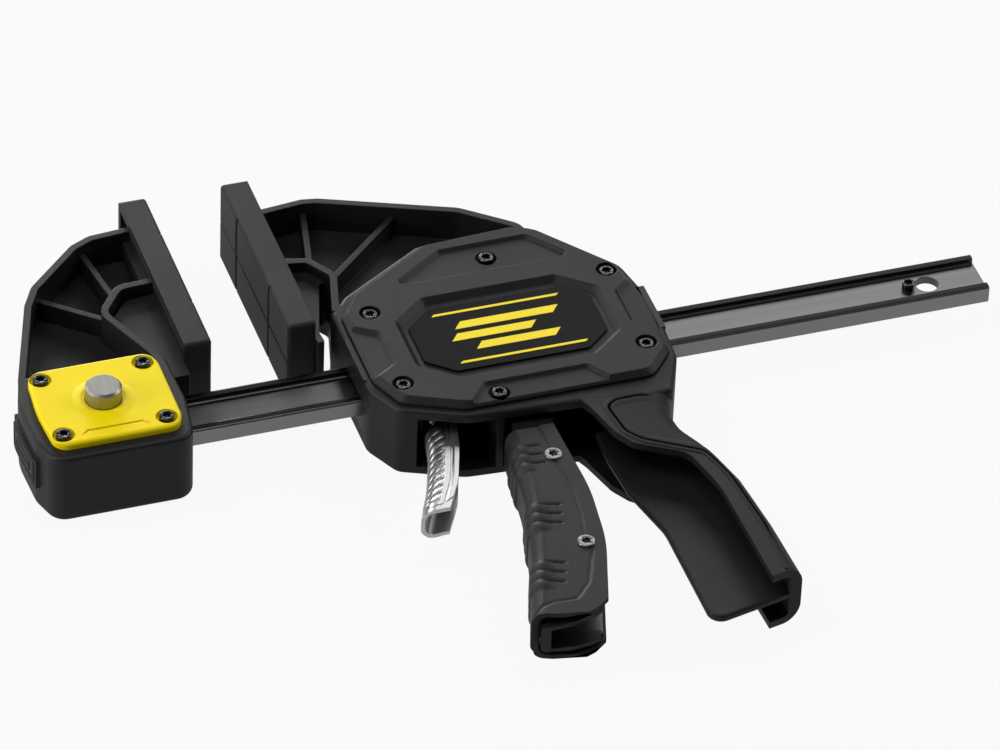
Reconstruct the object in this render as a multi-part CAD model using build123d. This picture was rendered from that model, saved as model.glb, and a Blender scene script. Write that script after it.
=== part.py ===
from build123d import *
import os
from math import atan2, cos, degrees, hypot, radians

# Quick release bar clamp, lying on its side. Millimetres.
# X runs along the bar towards its free end, Y towards the jaw tips, Z through the thickness.
# The origin is where the fixed jaw's clamping plane crosses the bar's centre line.

# ---------------------------------------------------------------- driving dimensions
# Fits
SLIDE_GAP = 0.1  # bar in its guides
SEAT_GAP = 0.05  # pieces pushed into a seat
PIN_GAP = 0.05  # levers on their pins
THREAD_GAP = 0.02  # screw in its own thread
SCREW_GAP = 0.1  # screw through a clearance hole
COVER_GAP = 0.15  # cover in its seat
LOCK_GAP = 0.2  # lock button in the head
SIDE_PLAY = 0.3  # levers between their bosses

# Bar: rolled I-section
BAR_HEIGHT = 20.0
BAR_THICK = 7.0
BAR_LIP = 2.9
BAR_WEB = 3.0
BAR_EDGE = 1.0
BAR_FREE_END = 251.5
HANG_HOLE_R = 4.2
HANG_HOLE_INSET = 20.0
STOP_INSET = 27.1
STOP_HEAD_R = 2.3
STOP_PROUD = 1.6
STOP_NUT_R = 3.1
STOP_NUT = 2.0
STOP_SCREW_END = 0.6  # beyond the nut

# Screws
SCREW_HEAD_R = 2.7
SCREW_HEAD = 2.4
SCREW_SHANK_R = 1.5
SCREW_LENGTH = 12.0
SCREW_POCKET = 1.1  # free ring round a sunk head
COVER_SCREW_SINK = 0.4

# Pads and jaws
PAD_OPENING = 27.6
PAD_THICK = 10.0
PAD_LENGTH = 85.0
PAD_RISE = 10.6
PAD_WIDTH = 33.0
PAD_POCKET = 5.0
PAD_SKIN = 2.6
PAD_EDGE = 1.4
PAD_GROOVE = 1.6
PAD_LONG_GROOVE = 1.0
PAD_GROOVES = (0.25, 0.72)  # shares of the pad's length, from its tip
JAW_WEB = 3.0
CARRIER_LAP = 0.1  # pad carrier sunk into the jaw, and short of the pocket's floor
JAW_TIP_DROP = 13.4  # jaw tip below the pad tip
FIXED_TIP_DROP = 1.8
RIB_WIDTH = 19.0
RIB_THICK = 2.2
RIM = 2.6

# Head block at the end of the bar
HEAD_OFFSET = 34.9  # lock pin axis behind the moving pad's back
HEAD_SPAN = 54.6
HEAD_DEPTH = 25.0
HEAD_BACK = 22.0
HEAD_WALL = 3.0
HEAD_TOP_EDGE = 1.5
HEAD_LOW_EDGE = 2.5
HEAD_COVER_SIZE = (47.5, 41.0)
HEAD_COVER_THICK = 3.0
HEAD_COVER_EDGE = 1.2
HEAD_COVER_BULGE_R = 60.0
HEAD_SCREW_PITCH = (36.6, 30.5)
HEAD_SCREW_PROUD = 0.6
HEAD_GROOVE = 20.0
HEAD_GROOVE_WIDTH = 0.9
HEAD_GROOVE_TURN = 2.3  # how far its ends turn outwards
HEAD_GROOVE_INSET = 5.6
HEAD_GROOVE_DEPTH = 0.6
BAR_SEAT_DEPTH = 19.5  # bar end behind the lock pin axis
END_PANEL = (-15.5, 11.5, -4.6, 7.2)  # from and to along Y, then along Z
END_PANEL_RISE = 1.2

# Lock button: head, flange, neck and locking land on one turned pin
BUTTON_R = 6.4
BUTTON_RISE = 6.0
BUTTON_EDGE = 0.9
BUTTON_FLANGE_R = 7.7
BUTTON_FLANGE = 2.0
BUTTON_TRAVEL = 6.5
LOCK_PIN_R = 4.0
LOCK_NECK_R = 2.4
LOCK_LAND_UP = 1.0
LOCK_LAND_DOWN = 1.5
LOCK_FLOOR = 1.0
LOCK_SPRING_WIRE = 0.7
LOCK_SPRING_TURNS = 5

# Body and cover
BODY_LEFT = 17.6
BODY_RIGHT = 128.2
BODY_FLOOR = 1.6
BODY_EDGE = 0.8
BODY_TOP_EDGE = 1.6
COVER_RISE = 3.0
COVER_LEDGE = 1.6
COVER_CHAMFER = 2.0
RELIEF_DEPTH = 1.2
RELIEF_SLOPE = 45.0  # of the reliefs' and the label recess's side walls
LABEL_RECESS = 2.2
LABEL_THICK = 0.8
LABEL_CENTER = (74.0, 0.2)
LABEL_HALF = (33.6, 17.6)
LABEL_CORNER = (9.5, 8.0)
LABEL_ROUND = 1.2
RECESS_HALF = (35.4, 20.8)  # at the recess floor
RECESS_CORNER = (11.6, 9.2)
RECESS_ROUND = 1.5
POST_R = 3.6
PANEL_INSET = 3.0
BOSS_WALL = 2.2
PIN_SEAT = 1.4
PIN_CHAMFER = 0.4
CROSS_WALL_X = 61.5
CROSS_WALL = 2.6
CROSS_WALL_TOP = 30.0
CROSS_WINDOW_LOW = -14.0
MOUTH_EDGE = -24.0  # inner edge of the mouth that the levers leave by
MOUTH_GAP = 0.7
MOUTH_LEFT = 59.5
MOUTH_RIGHT = 96.0
LEVER_MOUTH = (30.5, 57.0)
GUIDE_LIP = 2.0  # guide beyond the bar's edges
GUIDE_THICK = 8.5
REAR_GUIDE_THICK = 11.5
GUIDE_BED = 5.5
GUIDE_LAP = 2.2

# Handle
HANDLE_END_Y = -151.2  # at the web's corner
HANDLE_END_SLOPE = 0.22
HANDLE_OVERRUN = 10.0  # of the cutters past the end
HANDLE_ROUND = 7.0
HANDLE_TOP_Y = -40.0
HANDLE_TAPER = 0.0218  # half thickness lost per millimetre of length
HANDLE_WALL = 3.2
HANDLE_FLANGE = 2.8
HANDLE_WEB = 3.0
HANDLE_WEB_EDGE = 1.1
WEB_END_X = 97.3
WEB_LAP = 2.4
GRIP_SKIN = 1.6

# Trigger
TRIGGER_X = 76.0
TRIGGER_Y = 18.0
TRIGGER_PIN_R = 3.0
TRIGGER_ARM_R = 8.4
TRIGGER_WIDTH = 20.0
TRIGGER_SHELL = 1.7
TRIGGER_NOSE = 2.9
TRIGGER_ROUND = 5.0
TRIGGER_TOP = -47.0
TRIGGER_FOOT = -141.8
TRIGGER_BEND = 30.0
CHANNEL_SHEET = 2.0
CHANNEL_FIT = 0.1
CHANNEL_INSET = 1.2  # from the shell's back
CHANNEL_TOP = 3.0  # channel beyond the shell's top
CHANNEL_FOOT = 4.0  # channel short of the shell's foot
BUSH_WALL = 1.4
BUSH_FLANGE = 1.2
TRIGGER_SCREW_HEAD_R = 3.1
TRIGGER_SCREW_PROUD = 0.6
TRIGGER_SOCKET_R = 1.2
TRIGGER_SOCKET = 1.2

# Drive and brake plates, and their springs
PLATE_THICK = 3.2
PLATE_EAR = 8.0  # plate beyond the bar's edges
PLATE_WIDTH = 21.0
PLATE_EDGE = 0.25
PLATE_GAP = 0.35
PLATE_REST = 0.4  # drive plate ahead of the trigger arms
BRAKE_X = 47.6
BRAKE_TILT = 5.0
BRAKE_FULCRUM_Y = 16.5
SPRING_WIRE = 1.5
SPRING_CLEAR = 0.25
DRIVE_COILS = 6
BRAKE_COILS = 3

# Release lever
RELEASE_X = 40.0
RELEASE_Y = 18.0
RELEASE_PIN_R = 2.2
RELEASE_ARM_R = 4.3
RELEASE_WIDTH = 12.0
RELEASE_SHEET = 1.5
RELEASE_ROUND = 4.6
LEVER_TOP = -26.0
LEVER_FOOT = -75.8
LEVER_WINDOW = 10.6
LEVER_BEND = 18.0
LEVER_OVERRUN = 9.0  # of the hollows' cutters past both levers

# ---------------------------------------------------------------- derived sizes
BAR_Y = BAR_HEIGHT / 2
BAR_Z = BAR_THICK / 2
WEB_Z = BAR_WEB / 2
SPRING_R = round(hypot(BAR_Y, BAR_Z) + SPRING_WIRE / 2 + SEAT_GAP, 1)
COVER_BASE = SPRING_R + SPRING_WIRE / 2 + SPRING_CLEAR
FLOOR_Z = -COVER_BASE
BODY_Z = COVER_BASE + BODY_FLOOR
COVER_TOP = BODY_Z + COVER_RISE
PAD_LOW = BAR_Y + PAD_RISE
PAD_TIP = PAD_LOW + PAD_LENGTH
JAW_REACH = PAD_TIP - JAW_TIP_DROP
MOVING_FACE = -PAD_OPENING
MOVING_BACK = MOVING_FACE - PAD_THICK
FIXED_BACK = PAD_THICK
HEAD_X = MOVING_BACK - HEAD_OFFSET
HEAD_LEFT = HEAD_X - HEAD_SPAN / 2
HEAD_RIGHT = HEAD_X + HEAD_SPAN / 2
HEAD_FRONT = -HEAD_DEPTH
HEAD_TOP = BODY_Z
HEAD_COVER_TOP = HEAD_TOP + HEAD_COVER_THICK
BAR_HEAD_END = HEAD_X - BAR_SEAT_DEPTH
FLANGE_TOP = HEAD_TOP - LOCK_GAP / 2
LAND_TOP = WEB_Z + LOCK_LAND_UP
LAND_LOW = -WEB_Z - LOCK_LAND_DOWN
TRIGGER_Z = TRIGGER_WIDTH / 2
CHANNEL_Z = TRIGGER_Z - TRIGGER_SHELL - CHANNEL_FIT
RELEASE_Z = RELEASE_WIDTH / 2
GUIDE_Y = BAR_Y + GUIDE_LIP
GUIDE_LOW = -BAR_Z - GUIDE_BED
DRIVE_X = TRIGGER_X + TRIGGER_ARM_R + PLATE_REST + PLATE_THICK / 2
BRAKE_STEP = PLATE_THICK / cos(radians(BRAKE_TILT))

# ---------------------------------------------------------------- outlines, as (x, y, corner radius)
HEAD_BLOCK = [
    (HEAD_LEFT + 2.9, HEAD_BACK, 3.0),
    (HEAD_LEFT - 1.4, 7.0, 30.0),
    (HEAD_LEFT - 0.6, -13.0, 10.0),
    (HEAD_LEFT + 3.4, HEAD_FRONT, 7.0),
    (HEAD_RIGHT - 1.6, HEAD_FRONT, 7.0),
    (HEAD_RIGHT + 1.2, -4.0, 6.0),
    (HEAD_RIGHT + 0.4, HEAD_BACK, 3.0),
]
MOVING_JAW = [
    (MOVING_BACK, JAW_REACH + 1.3, 0.5),
    (MOVING_BACK - 14.9, JAW_REACH, 6.0),
    (MOVING_BACK - 22.4, JAW_REACH - 3.7, 6.0),
    (MOVING_BACK - 41.9, 69.5, 10.0),
    (MOVING_BACK - 46.9, 60.0, 8.0),
    (HEAD_LEFT + 2.2, 20.0, 4.0),
    (HEAD_LEFT + 3.2, 15.0, 1.0),
    (HEAD_RIGHT - 0.5, 15.0, 1.0),
    (MOVING_BACK - 9.4, 24.0, 4.0),
    (MOVING_BACK - 20.1, 49.0, 5.0),
    (MOVING_BACK - 11.9, 60.0, 5.0),
    (MOVING_BACK, 60.6, 0.5),
]
MOVING_SHELF = [
    (MOVING_BACK, 13.0, 0.5),
    (MOVING_BACK, 60.0, 0.5),
    (MOVING_BACK - 10.9, 58.5, 3.0),
    (MOVING_BACK - 18.0, 49.5, 3.0),
    (MOVING_BACK - 7.9, 25.0, 2.0),
    (MOVING_BACK - 7.9, 13.0, 0.5),
]
MOVING_RIBS = [
    (MOVING_BACK - 13.9, 60.0, MOVING_BACK - 18.9, JAW_REACH - 0.2),
    (MOVING_BACK - 19.4, 50.0, MOVING_BACK - 44.4, 71.0),
]
BODY_OUTLINE = [
    (BODY_LEFT, 27.0, 1.0),
    (BODY_LEFT, -17.0, 9.0),
    (BODY_LEFT + 6.8, -30.6, 6.0),
    (46.5, -40.0, 12.0),
    (86.0, -42.6, 1.0),
    (112.0, -46.5, 1.0),
    (119.4, -45.6, 2.0),
    (BODY_RIGHT - 1.3, -28.0, 12.0),
    (BODY_RIGHT, -8.0, 20.0),
    (BODY_RIGHT - 0.4, 8.0, 12.0),
    (BODY_RIGHT - 4.0, 25.9, 10.0),
    (101.2, 54.6, 8.0),
    (92.3, 57.2, 5.0),
    (57.6, 55.4, 8.0),
    (25.0, 35.0, 2.0),
]
COVER_OUTLINE = [
    (BODY_LEFT + 2.4, 22.0, 3.0),
    (BODY_LEFT + 2.4, -14.0, 8.0),
    (BODY_LEFT + 8.4, -28.0, 6.0),
    (47.0, -37.3, 10.0),
    (115.0, -37.3, 8.0),
    (BODY_RIGHT - 3.4, -26.0, 6.0),
    (BODY_RIGHT - 2.4, 4.0, 12.0),
    (BODY_RIGHT - 6.4, 24.5, 10.0),
    (99.5, 52.3, 8.0),
    (92.0, 55.0, 5.0),
    (58.5, 53.2, 8.0),
    (26.5, 32.8, 4.0),
]
COVER_SCREWS = [(78.7, 39.7), (117.3, 20.9), (29.6, 20.0), (29.2, -20.2), (60.0, -33.0), (117.6, -21.5)]
RELIEFS = [
    [(43.5, 33.0, 1.0), (63.5, 46.4, 2.0), (95.5, 46.8, 2.0), (106.5, 33.5, 1.0)],
    [(48.0, -39.0, 0.5), (56.5, -28.4, 1.5), (93.5, -28.4, 1.5), (100.5, -39.0, 0.5)],
    [(18.0, 15.5, 0.5), (29.0, 8.4, 1.5), (29.0, -8.4, 1.5), (18.0, -15.5, 0.5)],
    [(127.0, 15.5, 0.5), (127.0, -15.5, 0.5), (117.3, -8.4, 1.5), (117.3, 8.4, 1.5)],
]
FIXED_JAW = [
    (FIXED_BACK, JAW_REACH - FIXED_TIP_DROP, 0.5),
    (26.2, JAW_REACH, 8.0),
    (32.0, JAW_REACH - 1.0, 8.0),
    (79.0, 72.4, 12.0),
    (101.2, 54.6, 8.0),
    (96.0, 48.0, 1.0),
    (60.0, 46.0, 1.0),
    (30.0, 28.0, 1.0),
    (18.2, 27.5, 1.0),
    (23.4, 47.6, 3.0),
    (17.6, 56.8, 3.0),
    (FIXED_BACK, 58.2, 0.5),
]
FIXED_SHELF = [
    (FIXED_BACK, 17.7, 0.5),
    (FIXED_BACK, 61.0, 0.5),
    (18.6, 59.0, 2.0),
    (24.2, 51.0, 1.0),
    (20.0, 48.8, 2.0),
    (12.2, 23.0, 3.0),
    (12.6, 17.7, 0.5),
]
FIXED_RIBS = [(19.5, 58.0, 26.8, JAW_REACH - 0.2), (26.0, 51.5, 57.0, 80.0)]
HANDLE_BACK = [
    (121.2, HANDLE_TOP_Y, 0.0),
    (116.0, -54.5, 10.0),
    (116.9, -62.5, 14.0),
    (123.2, -75.0, 60.0),
    (128.2, -94.0, 80.0),
    (130.6, -118.0, 150.0),
]
HANDLE_BACK_END = 131.8
HANDLE_PALM = [
    (86.0, HANDLE_TOP_Y, 0.0),
    (88.6, -46.5, 3.0),
    (92.6, -61.0, 10.0),
    (97.0, -68.6, 6.0),
    (113.6, -78.4, 8.0),
    (118.4, -98.0, 60.0),
]
HANDLE_PALM_END = 120.0
WEB_FRONT = [(91.0, HANDLE_TOP_Y - 4.0, 1.0), (90.6, -62.0, 6.0), (91.8, -79.0, 12.0), (97.2, -102.0, 25.0)]
GRIP_SEAM = [
    (126.6, -118.0, 60.0),
    (123.8, -92.0, 40.0),
    (119.8, -79.3, 6.0),
    (100.8, -67.6, 5.0),
    (96.4, -62.0, 5.0),
    (94.2, -47.0, 1.0),
    (97.5, -44.6, 3.0),
    (108.5, -44.6, 6.0),
    (114.2, -48.5, 3.0),
    (115.4, -54.5, 1.0),
]
TRIGGER_FRONT = [(58.3, -42.4), (54.0, -79.4), (46.6, -109.8), (37.2, -138.0)]
TRIGGER_BACK = [(75.2, -48.0), (76.2, -84.0), (72.8, -111.0), (64.2, -138.6)]
TRIGGER_HEEL = [(64.4, -138.0), (63.2, -139.8), (57.0, -144.2), (50.0, -141.8), (50.0, -138.0)]
TRIGGER_SCREWS = [(69.9, -62.9), (66.1, -109.7)]
TRIGGER_ARM = [
    (TRIGGER_X - TRIGGER_ARM_R, TRIGGER_Y + TRIGGER_ARM_R, TRIGGER_ARM_R * 0.95),
    (TRIGGER_X - TRIGGER_ARM_R, -20.0, 10.0),
    (61.8, -42.0, 1.0),
    (61.0, -52.0, 1.0),
    (73.4, -52.0, 1.0),
    (76.6, -42.0, 10.0),
    (TRIGGER_X + TRIGGER_ARM_R, -18.0, 4.0),
    (TRIGGER_X + TRIGGER_ARM_R, TRIGGER_Y + TRIGGER_ARM_R, TRIGGER_ARM_R * 0.95),
]
LEVER_FRONT = [(35.2, -26.0), (31.4, -44.0), (25.4, -61.0), (18.8, -75.0)]
LEVER_BACK = [(46.0, -28.0), (41.6, -46.0), (36.2, -62.0), (29.8, -74.0)]
LEVER_ARM = [
    (RELEASE_X - RELEASE_ARM_R, RELEASE_Y + RELEASE_ARM_R, RELEASE_ARM_R * 0.95),
    (RELEASE_X - RELEASE_ARM_R, -30.0, 1.0),
    (RELEASE_X + 5.0, -31.0, 1.0),
    (RELEASE_X + 2.6, -20.0, 2.0),
    (RELEASE_X + 2.0, 4.0, 2.0),
    (RELEASE_X + RELEASE_ARM_R, RELEASE_Y - 6.0, 1.0),
    (RELEASE_X + RELEASE_ARM_R, RELEASE_Y + RELEASE_ARM_R, RELEASE_ARM_R * 0.95),
]


# ---------------------------------------------------------------- shape helpers
def outline(points):
    """Face on the XY plane from (x, y, corner radius) points."""
    line = FilletPolyline(*[(x, y) for x, y, r in points], radius=[r for x, y, r in points], close=True)
    return make_face(line)


def prism(face, low, high):
    """Solid between two heights over a face on the XY plane."""
    return Pos(0, 0, low) * extrude(face, high - low, dir=(0, 0, 1))


def twin(face, low, high):
    """The same prism above and below the middle plane."""
    upper = prism(face, low, high)
    return upper + mirror(upper, about=Plane.XY)


def block(x0, x1, y0, y1, z0, z1):
    return Pos((x0 + x1) / 2, (y0 + y1) / 2, (z0 + z1) / 2) * Box(x1 - x0, y1 - y0, z1 - z0)


def drum(x, y, radius, low, high):
    return Pos(x, y, (low + high) / 2) * Cylinder(radius, high - low)


def strip(x0, y0, x1, y1, width):
    """Face of a straight rib between two points."""
    length = hypot(x1 - x0, y1 - y0)
    turn = degrees(atan2(y1 - y0, x1 - x0))
    return Pos((x0 + x1) / 2, (y0 + y1) / 2) * Rot(0, 0, turn) * Rectangle(length, width)


def octagon(center, half, corner, r):
    """Long octagon: a rectangle with its corners cut off."""
    cx, cy = center
    points = []
    for sx, sy in ((1, 1), (-1, 1), (-1, -1), (1, -1)):
        a = (cx + sx * half[0], cy + sy * (half[1] - corner[1]), r)
        b = (cx + sx * (half[0] - corner[0]), cy + sy * half[1], r)
        points += [a, b] if sx * sy > 0 else [b, a]
    return points


def x_on(line, y):
    """X at a given Y on a line of points that runs down in Y, its end runs carried on."""
    for p, q in zip(line, line[1:]):
        if y >= q[1]:
            break
    return p[0] + (q[0] - p[0]) * (y - p[1]) / (q[1] - p[1])


def lying_edges(solid, keep):
    """Edges that don't stand up along Z and whose middle the test keeps."""
    return [e for e in solid.edges() if abs((e % 0.5).Z) < 0.5 and keep(e.center())]


def save(shape, node):
    export_step(shape, f"parts/{node}.step")


def bar_tunnel(x0, x1, gap):
    """Cutter for a slot that the bar slides through."""
    return block(x0, x1, -BAR_Y - gap, BAR_Y + gap, -BAR_Z - gap, BAR_Z + gap)


def socket_screw(x, y, top, length):
    """Socket head screw, its head's top at the given height."""
    seat = top - SCREW_HEAD
    screw = drum(x, y, SCREW_HEAD_R, seat, top) + drum(x, y, SCREW_SHANK_R, seat - length, seat)
    socket = Pos(x, y, top - SCREW_HEAD * 0.35) * extrude(RegularPolygon(SCREW_HEAD_R / 2, 6), SCREW_HEAD)
    return screw - socket


def coil_spring(x, y, z, direction, length, turns, radius, wire):
    """Compression spring: a round wire swept along a helix from the given end."""
    pitch = (length - wire) / turns
    start = Vector(x, y, z) + Vector(*direction) * (wire / 2)
    path = Helix(pitch, pitch * turns, radius, center=tuple(start), direction=direction)
    section = Plane(origin=path @ 0, z_dir=path % 0) * Circle(wire / 2)
    return sweep(section, path, is_frenet=True)


# ---------------------------------------------------------------- bar
def make_bar():
    body = block(BAR_HEAD_END, BAR_FREE_END, -BAR_Y, BAR_Y, -BAR_Z, BAR_Z)
    body = fillet(body.edges().filter_by(Axis.X), BAR_EDGE)
    channel_y = BAR_Y - BAR_LIP
    depth = BAR_Z - WEB_Z
    channel = block(BAR_HEAD_END - 1, BAR_FREE_END + 1, -channel_y, channel_y, WEB_Z, BAR_Z + 1)
    channel = fillet(channel.edges().filter_by(Axis.X).sort_by(Axis.Z)[:2], depth * 0.45)
    body -= channel
    body -= mirror(channel, about=Plane.XY)
    body -= drum(BAR_FREE_END - HANG_HOLE_INSET, 0, HANG_HOLE_R, -BAR_THICK, BAR_THICK)
    body -= drum(BAR_FREE_END - STOP_INSET, 0, SCREW_SHANK_R + SEAT_GAP, -BAR_THICK, BAR_THICK)
    # keyhole that the lock pin holds
    body -= drum(HEAD_X, 0, LOCK_PIN_R + LOCK_GAP, -BAR_THICK, BAR_THICK)
    slot_y = LOCK_NECK_R + 2 * LOCK_GAP
    return body - block(BAR_HEAD_END - 1, HEAD_X, -slot_y, slot_y, -BAR_THICK, BAR_THICK)


def make_stop():
    """Stop screw through the bar's web, and its nut in the channel below."""
    x = BAR_FREE_END - STOP_INSET
    screw = drum(x, 0, STOP_HEAD_R, WEB_Z, BAR_Z + STOP_PROUD)
    screw += drum(x, 0, SCREW_SHANK_R, -WEB_Z - STOP_NUT - STOP_SCREW_END, WEB_Z)
    screw -= Pos(x, 0, BAR_Z) * extrude(RegularPolygon(STOP_HEAD_R / 2, 6), STOP_PROUD + 1)
    nut = Pos(x, 0, -WEB_Z - STOP_NUT) * extrude(RegularPolygon(STOP_NUT_R, 6), STOP_NUT)
    return screw, nut - drum(x, 0, SCREW_SHANK_R + SEAT_GAP, -BAR_THICK, 0)


# ---------------------------------------------------------------- head and moving jaw
def jaw_solid(region, ribs):
    """Jaw moulding: web at mid thickness, rim all round and lower behind the pad, ribs between the rims."""
    face = outline(region)
    rim = face - offset(face, -RIM, kind=Kind.INTERSECTION)
    back, top, foot = region[0][0], region[0][1] - RIM, region[-1][1] + RIM
    pad_wall = Pos(back, (top + foot) / 2) * Rectangle(2 * RIM + CARRIER_LAP, top - foot)
    body = prism(face, -JAW_WEB / 2, JAW_WEB / 2) + prism(rim, -RIB_WIDTH / 2, RIB_WIDTH / 2)
    body += prism(rim - pad_wall, -BODY_Z, BODY_Z)
    for rib in ribs:
        body += prism(strip(*rib, RIB_THICK) & face, -RIB_WIDTH / 2, RIB_WIDTH / 2)
    return body


def carrier_plate(back, side, tip):
    """Plate on a jaw that fills the pocket in a pad's back, towards the given side."""
    reach = back + side * (PAD_POCKET - CARRIER_LAP)
    lap = back - side * CARRIER_LAP
    half = PAD_WIDTH / 2 - PAD_SKIN - SEAT_GAP
    return block(min(reach, lap), max(reach, lap), PAD_LOW + PAD_SKIN + SEAT_GAP, tip, -half, half)


def head_screw_places():
    return [
        (HEAD_X + sx * HEAD_SCREW_PITCH[0] / 2, sy * HEAD_SCREW_PITCH[1] / 2)
        for sx in (-1, 1)
        for sy in (-1, 1)
    ]


def make_head():
    face = outline(HEAD_BLOCK)
    case = prism(face, -BODY_Z, HEAD_TOP)
    case = fillet(case.edges().group_by(Axis.Z)[-1], HEAD_TOP_EDGE)
    case = fillet(case.edges().group_by(Axis.Z)[0], HEAD_LOW_EDGE)
    case += jaw_solid(MOVING_JAW, MOVING_RIBS)
    case += prism(outline(MOVING_SHELF), -RIB_WIDTH / 2, RIB_WIDTH / 2)
    case += carrier_plate(MOVING_BACK, 1, JAW_REACH)
    case -= bar_tunnel(BAR_HEAD_END - SEAT_GAP, MOVING_FACE, SEAT_GAP)
    # underside coring, left and right of the lock pin's boss
    cored = offset(face, -HEAD_WALL, kind=Kind.INTERSECTION)
    cored = cored & (Pos(HEAD_X, 0) * Rectangle(HEAD_SPAN, 2 * (HEAD_BACK - 2 * HEAD_WALL)))
    cored = cored - Pos(HEAD_X, 0) * Circle(LOCK_PIN_R + HEAD_WALL)
    cored = cored - Pos(HEAD_X, 0) * Rectangle(HEAD_WALL, 4 * HEAD_DEPTH)
    case -= prism(cored, -BODY_Z - 1, -BAR_Z - HEAD_WALL)
    # lock pin column
    flange_low = FLANGE_TOP - BUTTON_FLANGE - BUTTON_TRAVEL - LOCK_GAP
    case -= drum(HEAD_X, 0, BUTTON_FLANGE_R + LOCK_GAP, flange_low, HEAD_TOP + 1)
    case -= drum(HEAD_X, 0, LOCK_PIN_R + LOCK_GAP / 2, LOCK_FLOOR - BODY_Z, HEAD_TOP)
    for x, y in head_screw_places():
        case -= drum(x, y, SCREW_SHANK_R + THREAD_GAP, HEAD_TOP - SCREW_LENGTH, HEAD_TOP + 1)
    # plain raised panel that follows the end wall
    y0, y1, z0, z1 = END_PANEL
    window = Pos(HEAD_LEFT, (y0 + y1) / 2) * Rectangle(2 * HEAD_WALL, y1 - y0)
    return case + prism(offset(face, END_PANEL_RISE) & window, z0, z1)


def make_head_cover():
    w, h = HEAD_COVER_SIZE
    x0, x1 = HEAD_X - w / 2, HEAD_X + w / 2
    face = outline(
        [
            (x0 + 1.5, h / 2, 6.0),
            (x0, 0.0, HEAD_COVER_BULGE_R),
            (x0 + 1.5, -h / 2, 6.0),
            (x1 - 2.0, -h / 2, 5.0),
            (x1, -h / 2 + 6.0, 5.0),
            (x1, h / 2 - 6.0, 5.0),
            (x1 - 2.0, h / 2, 5.0),
        ]
    )
    plate = prism(face, HEAD_TOP, HEAD_COVER_TOP)
    plate = fillet(plate.edges().group_by(Axis.Z)[-1], HEAD_COVER_EDGE)
    plate -= drum(HEAD_X, 0, BUTTON_R + LOCK_GAP, HEAD_TOP - 1, HEAD_COVER_TOP + 1)
    seat = HEAD_COVER_TOP + HEAD_SCREW_PROUD - SCREW_HEAD
    for x, y in head_screw_places():
        plate -= drum(x, y, SCREW_HEAD_R + SCREW_POCKET, seat, HEAD_COVER_TOP + 1)
        plate -= drum(x, y, SCREW_SHANK_R + SCREW_GAP, HEAD_TOP - 1, HEAD_COVER_TOP + 1)
    # shallow groove along the front edge, its ends turned outwards
    y, half = HEAD_GROOVE_INSET - h / 2, HEAD_GROOVE / 2
    turn, wide = HEAD_GROOVE_TURN, HEAD_GROOVE_WIDTH
    end = half + turn
    right = [(half, y), (end, y - turn), (end - 1.4 * wide, y - turn), (half - wide / 2, y - wide)]
    groove = [(HEAD_X + dx, dy, 0.0) for dx, dy in right]
    groove += [(HEAD_X - dx, dy, 0.0) for dx, dy in right[::-1]]
    return plate - prism(outline(groove), HEAD_COVER_TOP - HEAD_GROOVE_DEPTH, HEAD_COVER_TOP + 1)


def make_head_screws():
    top = HEAD_COVER_TOP + HEAD_SCREW_PROUD
    length = SCREW_LENGTH - HEAD_COVER_THICK
    return [socket_screw(x, y, top, length) for x, y in head_screw_places()]


def make_button():
    head = drum(HEAD_X, 0, BUTTON_R, FLANGE_TOP - BUTTON_FLANGE / 2, HEAD_COVER_TOP + BUTTON_RISE)
    head = chamfer(head.edges().group_by(Axis.Z)[-1], BUTTON_EDGE)
    flange = drum(HEAD_X, 0, BUTTON_FLANGE_R, FLANGE_TOP - BUTTON_FLANGE, FLANGE_TOP)
    neck = drum(HEAD_X, 0, LOCK_NECK_R, LAND_LOW, FLANGE_TOP)
    return head + flange + neck + drum(HEAD_X, 0, LOCK_PIN_R, LAND_LOW, LAND_TOP)


def make_lock_spring():
    floor = LOCK_FLOOR - BODY_Z
    radius = LOCK_PIN_R - LOCK_SPRING_WIRE
    return coil_spring(
        HEAD_X, 0, floor, (0, 0, 1), LAND_LOW - floor, LOCK_SPRING_TURNS, radius, LOCK_SPRING_WIRE
    )


# ---------------------------------------------------------------- pads
def make_pad(face_x, back_x):
    """Soft pad with grooves across and along its face, hollow at the back for the carrier plate."""
    side = 1 if back_x > face_x else -1
    middle = (PAD_LOW + PAD_TIP) / 2
    pad = block(min(face_x, back_x), max(face_x, back_x), PAD_LOW, PAD_TIP, -PAD_WIDTH / 2, PAD_WIDTH / 2)
    pad = fillet(pad.edges().filter_by(lambda e: (e.center().X - back_x) * side < -PAD_EDGE), PAD_EDGE)
    for share in PAD_GROOVES:
        y = PAD_TIP - PAD_LENGTH * share
        pad -= Pos(face_x, y, 0) * Rot(0, 0, 45) * Box(PAD_GROOVE, PAD_GROOVE, PAD_WIDTH + 2)
    pad -= Pos(face_x, middle, 0) * Rot(0, 45, 0) * Box(PAD_LONG_GROOVE, PAD_LENGTH + 2, PAD_LONG_GROOVE)
    deep, out = back_x - side * PAD_POCKET, back_x + side
    half = PAD_WIDTH / 2 - PAD_SKIN
    return pad - block(min(deep, out), max(deep, out), PAD_LOW + PAD_SKIN, PAD_TIP - PAD_SKIN, -half, half)


# ---------------------------------------------------------------- handle
def handle_end(x):
    """Y of the slanted end cut."""
    return HANDLE_END_Y + (x - WEB_END_X) * HANDLE_END_SLOPE


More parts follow.
